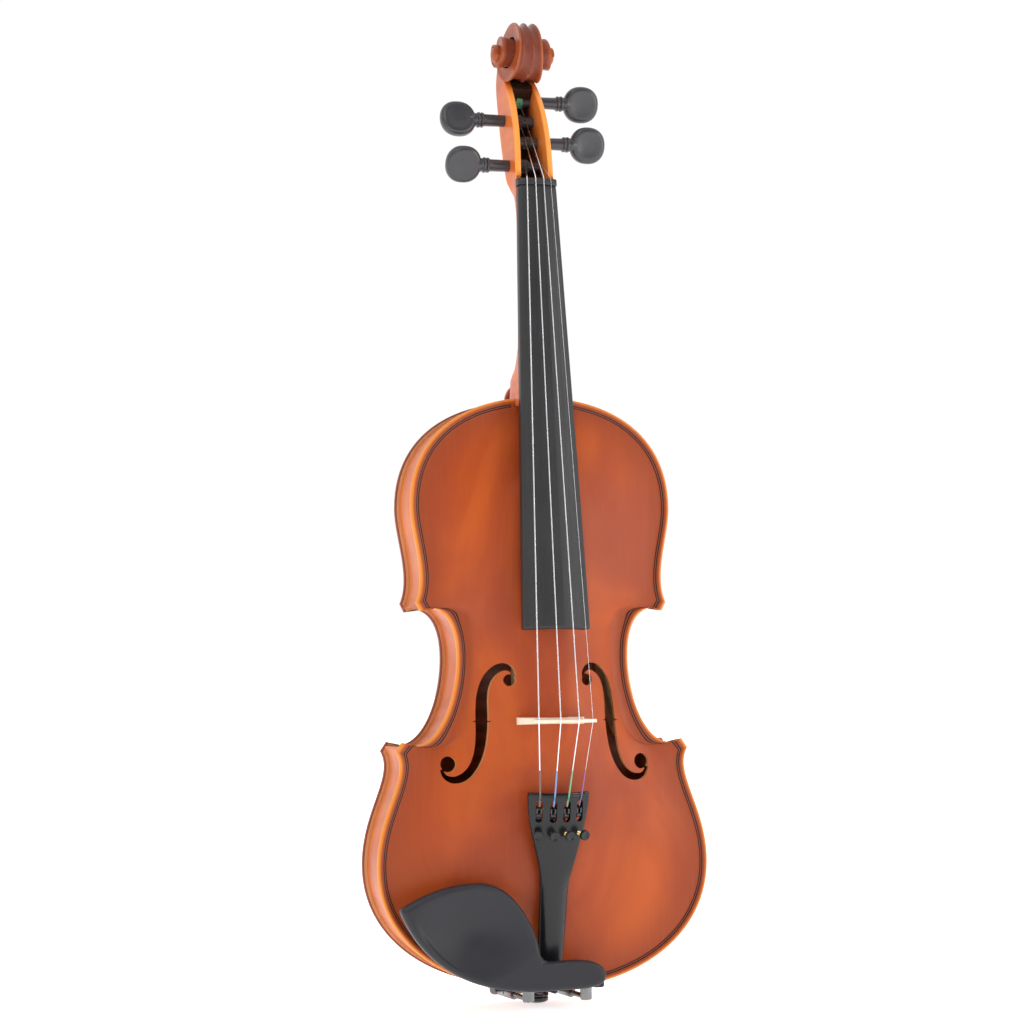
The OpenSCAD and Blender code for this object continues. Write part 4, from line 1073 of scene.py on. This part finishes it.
def peg(s):
    """A peg: a tapered shaft with a turned collar, and a thumb piece with hollowed faces."""
    side, y, z, turn = PEGS[s]
    origin, axis = np.array([0, y, HEAD_Z + z]), np.array([side, 0, 0])
    tip = 0.15 - min(cheek_half(z), 11.0)
    shaft = [(0.01, tip), (1.2, tip + 0.05), (2.3, tip + 0.3), (peg_radius(tip + 0.8), tip + 0.8)]
    shaft += [(peg_radius(q), q) for q in np.linspace(tip + 1.4, 24, 12)]
    collar = [(3.9, 24.5), (4.45, 24.7), (4.7, 25.1), (4.7, 25.8), (4.4, 26.2), (3.95, 26.4),
              (4.05, 26.7), (4.55, 26.9), (4.8, 27.3), (4.8, 28.1), (4.5, 28.5), (4.1, 28.7),
              (4.15, 29.4), (4.3, 30.2), (4.1, 31.6), (3.6, 33.2), (3.2, 34.6), (3.0, 37),
              (0.01, 38)]
    shape = Shape().lathe(shaft + collar, origin, axis, Y_AXIS)
    w = np.array([0, *direction(turn)])
    flat = np.cross([1.0, 0, 0], w)
    c, sn = np.cos(around(64)), np.sin(around(64))
    face = [(0.01, 2.9), (2.2, 2.93), (4.6, 3.1), (6.6, 3.4), (8.2, 3.62), (9.3, 3.45),
            (10.2, 2.9), (10.75, 1.9), (11.0, 0.7)]
    rings = []
    for r, h in face + [(r, -h) for r, h in face[::-1]]:
        along = r * np.sign(c) * np.abs(c) ** 0.86 * np.where(c < 0, 1.0, 1.04)
        across = r * np.sign(sn) * np.abs(sn) ** 0.92 * (1.03 + 0.02 * c)
        rings.append(origin + np.outer(HEAD_X + along, axis) + np.outer(across, flat) + h * w)
    shape.loft(rings).make(f"peg_{s}_turned", PEG_WOOD, body=f"peg_{s}", replaces=f"peg_{s}",
                           slot="ebony")


def winding(s):
    """The turns of string on a peg, side by side."""
    side, y, z, _ = PEGS[s]
    start, length = WINDING[s]
    r = STRING_R[s]
    turns = length / (2.08 * r)
    radius = peg_radius(start + length) + r
    a = np.linspace(0, 2 * np.pi * (turns - 1), int(26 * turns))
    x = start + r + (length - 2 * r) * a / a[-1]
    path = np.stack([side * x, y - radius * np.cos(a), HEAD_Z + z - radius * np.sin(a)], 1)
    Shape().tube(path, r * 0.98, 8).make(
        f"winding_{s}_coil", SILK[s] if s == "a" else DARK_THREAD, body=f"peg_{s}",
        replaces=f"winding_{s}", slot="string_steel", sharp=None)


neck()
fingerboard()
nut()
saddle()
end_button()
for name in STRINGS:
    peg(name)
    winding(name)


# ---- bridge ---------------------------------------------------------------------------

BRIDGE_Z, BRIDGE_TOP, CROWN_R = 161.0, 45.0, 41.0


def bridge_y(x):
    return -BRIDGE_TOP + sagitta(x, CROWN_R)


def bridge():
    """The bridge: crown, waist and two feet fitted to the arch, thinner towards the strings."""
    sole = np.array([[x, surface_height(front_rails, x, BRIDGE_Z) + 0.06]
                     for x in (20.75, 17.6, 14.5, 11.5)])
    right = polyline([[18, bridge_y(18)], [19.5, -39.9], [19.3, -37.4], [17.2, -35.4],
                      [15.2, -32.5], [14.4, -29], [15, -25.5], [16.8, -21.6], [19.4, -17.2],
                      [20.75, -13.6]], 46)
    arch = polyline([sole[3] - [0, 0.6], [10, -14], [6, -16.6], [0, -17.6]], 14)
    x = np.linspace(-17.4, 17.4, 31)
    half = np.concatenate([right, sole, arch])
    outline = np.concatenate([np.stack([x, bridge_y(x)], 1), half, half[-2::-1] * [-1, 1]])
    shape = Shape().slab(outline, -1, 1, 0.12, axis=2)
    v = np.array(shape.verts)
    foot_t, top_t = 2.6, 0.7
    thick = foot_t + (top_t - foot_t) * np.clip(-v[:, 1] / (BRIDGE_TOP + 1), 0, 1)
    v[:, 2] = BRIDGE_Z + v[:, 2] * thick
    shape.verts = v.tolist()
    obj = shape.make("bridge_cut", BRIDGE_WOOD, replaces="bridge")
    heart = polyline([[-3.4, -30.6], [0, -31.2], [3.4, -30.6], [1.5, -27.5], [0, -23.6],
                      [-1.5, -27.5], [-3.4, -30.5]], 30)
    holes = [h for sign in (1, -1) for h in (
        arc(sign * 9.6, -26.5, 3.4, 0, 350, 36),
        rounded_box(9.6, 17.5, -27.2, -25.8, 0.5) * [sign, 1],
        arc(sign * 1.5, -31, 2.0, 0, 350, 28))]
    for hole in holes + [heart]:
        cut(obj, Shape().loft([at_height(hole, BRIDGE_Z + z, 2) for z in (-6, 6)]).cutter())
    shade(obj, 35)


# ---- tailpiece ------------------------------------------------------------------------

TAIL_TOP = np.array([0.0, -31.0, 118.0])
TAIL_TILT = math.radians(11.5)
TAIL_R, TAIL_LEN = 45.0, 108.0
TAIL_SIDE = [[[19, 0], [18.5, -28], [9.2, -38], [8.7, -62]],
             [[8.7, -62], [8.4, -80], [8.6, -95], [6.5, -TAIL_LEN]]]
LEAN = dict(zip(STRINGS, (-16.3, -5.4, 5.4, 16.3)))
SCREW_Z, PIVOT_Z, PIVOT_Y = -24.2, -10.5, 6.0


def on_tail(x, y, z):
    """From the tailpiece's own axes, where z = 0 is its wide end and y = 0 its crown."""
    x, y, z = np.broadcast_arrays(np.asarray(x, float), y, z)
    c, s = math.cos(TAIL_TILT), math.sin(TAIL_TILT)
    return TAIL_TOP + np.stack([x, y * c - z * s, y * s + z * c], -1)


def on_tuner(s, x, y, z):
    """From one string's place across the tailpiece's crown."""
    a = math.radians(LEAN[s])
    x, y, z = np.broadcast_arrays(np.asarray(x, float), y, z)
    r = TAIL_R - y
    return on_tail(r * math.sin(a) + x * math.cos(a), TAIL_R - r * math.cos(a) + x * math.sin(a), z)


def tail_half(z):
    """Half width of the tailpiece along its length."""
    t = np.linspace(0, 1, 120)
    line = np.concatenate([bez(TAIL_SIDE[0], t), bez(TAIL_SIDE[1], t)])
    return float(np.interp(-z, -line[:, 1], line[:, 0]))


def tailpiece():
    """A moulded tailpiece: a crowned plate at the strings that narrows to a rounded tongue."""
    rings = []
    a = np.sin(np.linspace(-1, 1, 37) * np.pi / 2)
    for z in [0.0, -0.25, -0.8, -1.8, *np.linspace(-3.5, -102, 46),
              -104.5, -106.2, -107.2, -107.8, -TAIL_LEN]:
        far = max(0.0, -z - 103.5) / 4.5
        shrink = (0.9 - min(-z, 0.9)) * 0.9 + (1 - math.sqrt(max(1 - far * far, 0))) * 3.0
        half = tail_half(z) - shrink
        tongue = step(-40, -62, z)
        r = 1 / ((1 - tongue) / TAIL_R + tongue / 11.5)
        x = a * half
        crown = np.minimum(sagitta(np.clip(x, -r * 0.9, r * 0.9), r), 3.3) + shrink * 0.5
        crown += (1.1 + 0.2 * tongue) * np.clip((np.abs(a) - 0.93) / 0.07, 0, 1) ** 2
        ux = np.linspace(1, -1, 21) * (half - 0.25)
        flat = 3.9 + 1.4 * step(-86, -TAIL_LEN, z)
        under = (sagitta(ux, TAIL_R) + 3.2) * (1 - tongue) + flat * tongue
        under = np.maximum(under - shrink * 0.5, np.interp(ux, x, crown) + 0.6)
        rings.append(on_tail(np.concatenate([x, ux]), np.concatenate([crown, under]), z))
    obj = Shape().loft(rings).make("tailpiece_moulding", TAIL_BLACK, replaces="tailpiece")
    slot = np.concatenate([arc(0, -6.3, 2.1, 0, 180, 14), arc(0, -15.2, 2.3, 180, 360, 14)])
    ear = rounded_box(PIVOT_Z - 1.8, PIVOT_Z + 1.8, 2.9, 8.4, 0.6)
    for s in STRINGS:
        cut(obj, Shape().loft([on_tuner(s, slot[:, 0], y, slot[:, 1]) for y in (-5, 4.6)]).cutter())
        for side, x in (("left", -2.75), ("right", 2.75)):
            Shape().loft([on_tuner(s, x + dx, ear[:, 1], ear[:, 0]) for dx in (-0.52, 0.52)]).make(
                f"tailpiece_ear_{s}_{side}", TAIL_BLACK)
    shade(obj, 40)


def tail_fret():
    """The fret that the strings cross at the tailpiece's wide end."""
    half = 17.4
    x = np.linspace(-half, half, 61)
    taper = 1 - smooth(half - 1.2, half, np.abs(x))
    rise = [(-2.2, 0.0), (-2.1, 0.55), (-1.8, 0.82), (-1.4, 0.9), (-1.0, 0.82), (-0.7, 0.55),
            (-0.6, 0.0)]
    Shape().loft([on_tail(np.concatenate([x, x[::-1]]), np.concatenate(
        [sagitta(x, TAIL_R) - lift * taper, sagitta(x, TAIL_R)[::-1] + 0.3]), z)
        for z, lift in rise]).make("string_fret", TAIL_BLACK, replaces="tailpiece_fret")


# ---- fine tuners ----------------------------------------------------------------------

def tuner_axes(s):
    """Directions across, into and along the tailpiece at one tuner."""
    return [on_tuner(s, *axis) - on_tuner(s, 0, 0, 0) for axis in (X_AXIS, Y_AXIS, Z_AXIS)]


def bar(shape, s, x, y, z, r=0.25):
    """A small block with rounded edges in a tuner's own axes."""
    o = rounded_box(*y, *z, min(r, (y[1] - y[0]) / 2.2), 4)
    inner, round_x = inset(o, r * 0.6), r * 0.6
    shape.loft([on_tuner(s, np.full(len(q), px), *q.T) for q, px in (
        (inner, x[0]), (o, x[0] + round_x), (o, x[1] - round_x), (inner, x[1]))])


def both_ends(profile):
    """A profile and its mirror image."""
    return [(r, -h) for r, h in profile] + profile[::-1]


def tuner(s):
    """A fine tuner: its forked lever with a ball end, the pin, the screw and the knob."""
    across, deep, along = tuner_axes(s)
    pivot, head = on_tuner(s, 0, PIVOT_Y, PIVOT_Z), on_tuner(s, 0, 0, SCREW_Z)
    hub = both_ends([(0.01, 1.8), (1.5, 1.75), (1.85, 1.4)])
    lever = Shape().lathe(hub[:3] + [(1.9, 0)] + hub[3:], pivot, across, deep, 32)
    bar(lever, s, (-1.8, 1.8), (6.5, 7.9), (-26.3, PIVOT_Z))
    for x in ((-1.9, -0.7), (0.7, 1.9)):
        bar(lever, s, x, (0.4, 6.2), (PIVOT_Z - 1.9, PIVOT_Z + 1.3))
    lever.lathe(both_ends([(0.6, 1.5), (1.3, 1.5), (1.5, 1.2), (1.2, 0.3)]),
                on_tuner(s, 0, PIVOT_Y - 4.3, PIVOT_Z - 3), across, deep, 28)
    lever.make(f"tuner_{s}_fork", LEVER_BLACK, body=f"lever_{s}", replaces=f"tuner_lever_{s}")
    # One pin stands in for the node that holds all four
    pin = both_ends([(0.01, 3.28), (0.6, 3.28), (0.79, 3.1)])
    Shape().lathe(pin, pivot, across, deep, 24).make(
        f"tuner_{s}_pin", BRASS, replaces="tuner_pins" if s == "g" else None)
    # The screw, with a fine thread
    grooves = [(1.02 if k % 2 else 1.19, 5.6 - k * 0.22) for k in range(44)]
    profile = [(0.01, 6.15), (0.6, 6.1), (1.0, 5.8), *grooves, (1.15, -4.6), (0.01, -4.68)]
    Shape().lathe(profile, head, deep, across, 28).make(
        f"tuner_{s}_screw", BRASS, body=f"screw_{s}", replaces=f"tuner_screw_{s}")
    # The knob: ribbed all round, with a shallow dish in its end
    a = around(96)
    rib = 3.1 - 0.16 * (0.5 + 0.5 * np.cos(a * 24))
    rings = []
    for scale, y in [(0.3, -5.0), (0.86, -5.0), (0.96, -5.12), (1.0, -5.4), (1.0, -7.1),
                     (0.96, -7.42), (0.88, -7.58), (0.74, -7.6), (0.66, -7.35), (0.3, -7.25),
                     (0.01, -7.25)]:
        r = rib * scale if scale > 0.9 else 3.0 * scale
        rings.append(head + y * deep + np.outer(r * np.cos(a), across)
                     + np.outer(r * np.sin(a), along))
    Shape().loft(rings).make(f"tuner_{s}_knob", KNOB_BLACK, body=f"knob_{s}",
                             replaces=f"tuner_knob_{s}", sharp=60)


# ---- strings and tailgut --------------------------------------------------------------

def bent_path(points, radius, between=3):
    """A path of straight runs with its corners rounded off."""
    p = [np.asarray(q, float) for q in points]
    out = [p[0]]
    for a, b, c in zip(p, p[1:], p[2:]):
        u, v = a - b, c - b
        lu, lv = np.linalg.norm(u), np.linalg.norm(v)
        r = min(radius, lu * 0.45, lv * 0.45)
        p0, p2 = b + u / lu * r, b + v / lv * r
        out += [(1 - t) ** 2 * p0 + 2 * t * (1 - t) * b + t * t * p2
                for t in np.linspace(0, 1, between + 2)]
    return np.array(out + [p[-1]])


def string(s):
    """A string from its peg over the nut and the bridge to its tuner, with silk at that end."""
    r, x, bx = STRING_R[s], NUT_X[s], BRIDGE_X[s]
    side, py, pz, _ = PEGS[s]
    start, length = WINDING[s]
    wr = peg_radius(start + length) + 3 * r
    off = wr * direction(20)
    nut_y = -NUT_RISE + float(sagitta(x, BOARD_R)) - r * 0.7
    top = np.array([bx, bridge_y(bx) - r * 0.7, BRIDGE_Z])
    tail = on_tuner(s, 0, -0.9 - r, -1.4)
    path = bent_path([[side * (start + length / 2), py - off[0], HEAD_Z + pz - off[1]],
                      on_board(x, nut_y, 1.9), on_board(x, nut_y, -2.5), top, tail,
                      on_tuner(s, 0, 1, PIVOT_Z + 1.75)], 1.6)
    Shape().tube(path, r).make(f"string_{s}_wire", STRING, replaces=f"string_{s}", sharp=None)
    run = (top - tail) / np.linalg.norm(top - tail)
    places, lifts = zip((0.3, 0.1), (0.9, 0.13), (2, 0.14), (6, 0.14), (10, 0.14), (14, 0.13),
                        (15.4, 0.09), (16.0, 0.02))
    silk = Shape().tube(tail + np.outer(places, run), np.array(lifts) + r, 14)
    silk.tube(bent_path([tail - 0.1 * run, tail, on_tuner(s, 0, 0.8, PIVOT_Z + 2.6)], 0.4),
              r + 0.12, 14)
    silk.make(f"string_{s}_silk", SILK[s], slot="string_steel", sharp=None)


def tailgut():
    """The loop from the tailpiece over the saddle and round the end button's neck."""
    bend, half, gut_z = 5.3, 4.4, -1.3
    run = [on_tail(half, 3.2, -TAIL_LEN + 8), on_tail(half, 3.2, -TAIL_LEN - 0.6),
           [half, -5.4, 4.6], [half + 0.1, -4.1, 0.2], [half + 0.4, -1.5, gut_z],
           [bend, BUTTON_Y, gut_z]]
    loop = [[x, z, gut_z] for x, z in arc(0, BUTTON_Y, bend, 10, 170, 17)]
    path = bent_path(run + loop + [[-q[0], q[1], q[2]] for q in run[::-1]], 1.5, 4)
    Shape().tube(path, 0.9, 16).make("tail_cord", GUT, replaces="tailgut", sharp=None)


bridge()
tailpiece()
tail_fret()
for name in STRINGS:
    tuner(name)
    string(name)
tailgut()


# ---- chin rest and its clamp ----------------------------------------------------------

REST_TOP, REST_UNDER = -27.5, -19.8
REST = [
    [[-98, 52.5], [-85, 60], [-70, 66.8], [-50, 66.8]],
    [[-50, 66.8], [-32, 66.8], [-20, 50], [-13.4, 31]],
    [[-13.4, 31], [-12.6, 24], [-12.5, 19.4], [-5, 19.4]],
    [[-5, 19.4], [6, 19.4], [8, 20.4], [17, 19.4]],
    [[17, 19.4], [26, 18.2], [29.4, 13.5], [29, 9]], [[29, 9], [28.6, 3.4], [20, 2.3], [2, 2.3]],
    [[2, 2.3], [-45, -1.2], [-82, 13], [-98, 52.5]]]
REST_HEART = np.array([-30.0, 14.0])
LEGS = [(-38.0, -23.0), (22.4, 28.4)]
LEG_Z = (3.2, 9.2)
LEG_END, CORK_T = -2.4, 2.1


def even_points(p, count):
    """A closed outline resampled at even steps."""
    q = np.concatenate([p, p[:1]])
    s = np.concatenate([[0], np.cumsum(np.linalg.norm(np.diff(q, axis=0), axis=1))])
    t = np.linspace(0, s[-1], count, endpoint=False)
    return np.stack([np.interp(t, s, q[:, 0]), np.interp(t, s, q[:, 1])], 1)


def chin_rest():
    """The cup, dished in the middle, and the arm that crosses below the tailpiece."""
    t = np.linspace(0, 1, 30)[1:]
    outline = blur(even_points(np.concatenate([bez(s, t) for s in REST]), 220), 1.2)
    to_heart = REST_HEART - outline
    length, square = way_in(outline, to_heart)
    reach = length * np.maximum(square, 0.35)
    base = 2.6 / reach

    def at(share):
        return outline + to_heart * share[:, None]

    def dish(p):
        """How deep the cup is at each point."""
        rho = np.hypot((p[:, 0] + 53) / 41, (p[:, 1] - 38) / 30)
        return 6.1 * smooth(0, 1, 1.0 - rho) ** 0.9

    rings = [at_height(at(base + (1 - base) * u), REST_UNDER)
             for u in (0.965, 0.85, 0.7, 0.5, 0.3, 0.15, 0)]
    rings += [at_height(at(d / reach), REST_UNDER - lift)
              for d, lift in ((1.3, 0.25), (0.5, 0.8), (0.1, 1.7), (0.0, 3.0))]
    rings += [at_height(at(d / reach), REST_TOP + drop)
              for d, drop in ((0.15, 2.6), (0.5, 1.6), (1.1, 0.75), (1.9, 0.2))]
    for u in [0.0, *np.linspace(0.03, 0.965, 40)]:
        p = at(base + (1 - base) * u)
        rings.append(at_height(p, REST_TOP + dish(p) * step(0, 0.12, u)))
    rest, cork = Shape().loft(rings), Shape()
    for a, b in LEGS:
        leg = rounded_box(a, b, *LEG_Z, 1.2)
        wide = leg + (leg - leg.mean(axis=0)) * 0.16
        rest.loft([at_height(q, y) for q, y in (
            (wide, REST_UNDER - 1), (wide, REST_UNDER), (leg, REST_UNDER + 2.2),
            (leg, LEG_END - 0.3), (inset(leg, 0.3), LEG_END))])
        cork.slab(rounded_box(a, b, *LEG_Z, 1.0), LEG_END + 0.02, LEG_END + CORK_T, 0.25)
    rest.make("chin_cup", REST_BLACK, replaces="chin_rest", sharp=50)
    cork.make("rest_cork", CORK, replaces="chin_rest_cork")


CLAMP_X, BARREL_Z = 18.0, -2.6
FOOT_Y0 = DEPTH + CORK_T


def threaded(start, pitch, count):
    """Crests and grooves of a threaded rod."""
    return [(1.58 - 0.14 * (k % 2), start + pitch * k) for k in range(count)]


def clamp():
    """The rest's clamp: two straps with studs, two barrels with key holes, and the foot."""
    bracket, foot = Shape(), Shape()
    half = CLAMP_X + 5
    foot.slab(rounded_box(-half, half, BARREL_Z - 3, BARREL_Z + 13, 3.0, 8), FOOT_Y0,
              FOOT_Y0 + 1.6, 0.35)
    barrel_end = [(1.7, 13.0), (2.5, 13.0), (2.85, 12.65), (2.9, 12.2), (2.9, 10.4), (2.7, 10.2),
                  (2.7, 9.8), (2.9, 9.6)]
    stud = [(0.01, 1), (2.2, 1), (2.2, 3.7), (1.9, 4), (1.6, 4)]
    rivet = [(0.01, 1.45), (1.5, 1.5), (1.35, 2.0), (0.8, 2.35), (0.01, 2.45)]
    for x in (-CLAMP_X, CLAMP_X):
        bracket.slab(rounded_box(x - 3.5, x + 3.5, BARREL_Z - 1.9, BARREL_Z + 18.1, 1.2),
                     REST_UNDER + 0.02, REST_UNDER + 1.5, 0.3)
        bracket.lathe([(r, REST_UNDER + h) for r, h in stud + threaded(4.2, 0.5, 58)]
                      + [(0.01, 14)], (x, 0, BARREL_Z), Y_AXIS, X_AXIS, 28)
        for z in (BARREL_Z + 5.0, BARREL_Z + 12.5):
            bracket.lathe(rivet, (x, REST_UNDER, z), Y_AXIS, X_AXIS, 24)
        foot.lathe([(0.01, 26), *threaded(26.3, 0.45, 32), (1.9, 40.9), (1.9, 41.3), (0.01, 41.4)],
                   (x, 0, BARREL_Z), Y_AXIS, X_AXIS, 28)
    bracket.make("clamp_straps", CLAMP_STEEL, replaces="clamp_bracket")
    for side, x in (("bass", -CLAMP_X), ("treble", CLAMP_X)):
        middle = (x, 21, BARREL_Z)
        node = f"clamp_barrel_{side}"
        barrel = Shape().lathe(both_ends(barrel_end), middle, Y_AXIS, X_AXIS).make(
            f"barrel_{side}", CLAMP_STEEL, body=node, replaces=node)
        cut(barrel, Shape().lathe([(0.9, -6), (0.9, 6)], middle, X_AXIS, Y_AXIS, 24).cutter())
        shade(barrel)
    foot.make("foot_plate", CLAMP_STEEL, body="clamp_foot", replaces="clamp_foot")
    section = np.array([[DEPTH + 0.06, 1.1], [DEPTH + 0.06, 3.2], [DEPTH + 0.84, 7.5],
                        [FOOT_Y0 - 0.02, 7.75], [FOOT_Y0 - 0.02, 0.85]])
    Shape().loft([at_height(section, x, 0) for x in (-half, -half + 0.4, half - 0.4, half)]).make(
        "foot_cork", CORK, body="clamp_foot", replaces="clamp_foot_cork")


chin_rest()
clamp()


# ---- carried-over nodes, camera, light and floor --------------------------------------

for node in ("linings_top", "linings_back", "upper_block", "lower_block", "corner_blocks",
             "bass_bar", "sound_post"):
    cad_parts[node].data.materials.clear()
    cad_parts[node].data.materials.append(BARE_SPRUCE)

YAW, PITCH, ROLL = (math.radians(a) for a in (17.78, 3.24, -0.60))


def aim(obj, place, forward, up):
    """Puts an object at a place with its -z axis forward and its +y axis up."""
    right = forward.cross(up).normalized()
    up = right.cross(forward).normalized()
    turn = Matrix((right, up, -forward)).transposed().to_4x4()
    obj.matrix_world = Matrix.Translation(place) @ turn


def camera():
    """The camera at the photo's angle."""
    cam = bpy.data.cameras.new("camera")
    cam.sensor_width, cam.lens = 36.0, 105.93
    cam.dof.use_dof = False
    obj = bpy.data.objects.new("camera", cam)
    bpy.context.scene.collection.objects.link(obj)
    forward = Vector((math.sin(YAW) * math.cos(PITCH), math.cos(YAW) * math.cos(PITCH),
                      math.sin(PITCH)))
    right = forward.cross(Vector(Z_AXIS)).normalized()
    up = right.cross(forward) * math.cos(ROLL) - right * math.sin(ROLL)
    aim(obj, Vector((-0.57116, -1.75012, -0.37306)), forward, up)
    bpy.context.scene.camera = obj


def soft_light(name, place, target_z, size, power):
    """A soft box aimed at the violin's middle line."""
    light = bpy.data.lights.new(name, "AREA")
    light.shape, light.energy = "RECTANGLE", power
    light.size, light.size_y = size
    obj = bpy.data.objects.new(name, light)
    bpy.context.scene.collection.objects.link(obj)
    place = Vector(place)
    aim(obj, place, (Vector((0, 0, target_z)) - place).normalized(), Vector(Z_AXIS))


def floor():
    """A wide pale floor that meets the white studio behind it."""
    low = CAD_BOX[0].z - 0.0004
    a = around(96)
    radii = (0.001, 0.5, 1.5, 4, 12, 40)
    verts = [(r * math.cos(t), r * math.sin(t), low) for r in radii for t in a]
    mesh = bpy.data.meshes.new("floor")
    mesh.from_pydata(verts, [], ring_faces(len(a), len(radii), False) + [list(range(len(a)))[::-1]])
    mesh.flip_normals()
    obj = bpy.data.objects.new("floor", mesh)
    bpy.context.scene.collection.objects.link(obj)
    m = Mat("paper", (0.93, 0.93, 0.93), 0.9, spec=0.1)
    tooth = m.noise((900, 900, 900), 2)
    m.color(m.mix(m.times(tooth, 0.03), (0.94, 0.94, 0.94), (0.88, 0.88, 0.88)))
    m.bump(tooth, 0.05, 0.0001)
    m.bsdf.inputs["Emission Color"].default_value = (1, 1, 1, 1)
    m.bsdf.inputs["Emission Strength"].default_value = 0.7
    mesh.materials.append(m.mat)


def sky():
    """A white studio that is dim towards -y, where the front plate would mirror it."""
    world = bpy.data.worlds.new("studio")
    world.use_nodes = True
    nodes, links = world.node_tree.nodes, world.node_tree.links
    back = nodes["Background"]
    back.inputs[0].default_value = (1, 1, 1, 1)
    split = nodes.new("ShaderNodeSeparateXYZ")
    links.new(nodes.new("ShaderNodeTexCoord").outputs["Generated"], split.inputs[0])
    level = nodes.new("ShaderNodeMapRange")
    level.interpolation_type = "SMOOTHSTEP"
    for key, value in (("From Min", -0.88), ("From Max", -0.3), ("To Min", 0.06),
                       ("To Max", 1.02)):
        level.inputs[key].default_value = value
    links.new(split.outputs[1], level.inputs["Value"])
    links.new(level.outputs[0], back.inputs[1])
    bpy.context.scene.world = world


camera()
floor()
sky()
soft_light("key", (-0.7, -1.6, 1.5), -0.3, (0.9, 0.9), 10)
soft_light("side", (1.7, -1.8, 0.1), -0.3, (0.9, 1.8), 19)
soft_light("strip", (-0.95, -2.1, -0.2), -0.35, (0.12, 1.7), 4)
bpy.context.scene.view_settings.view_transform = "Standard"
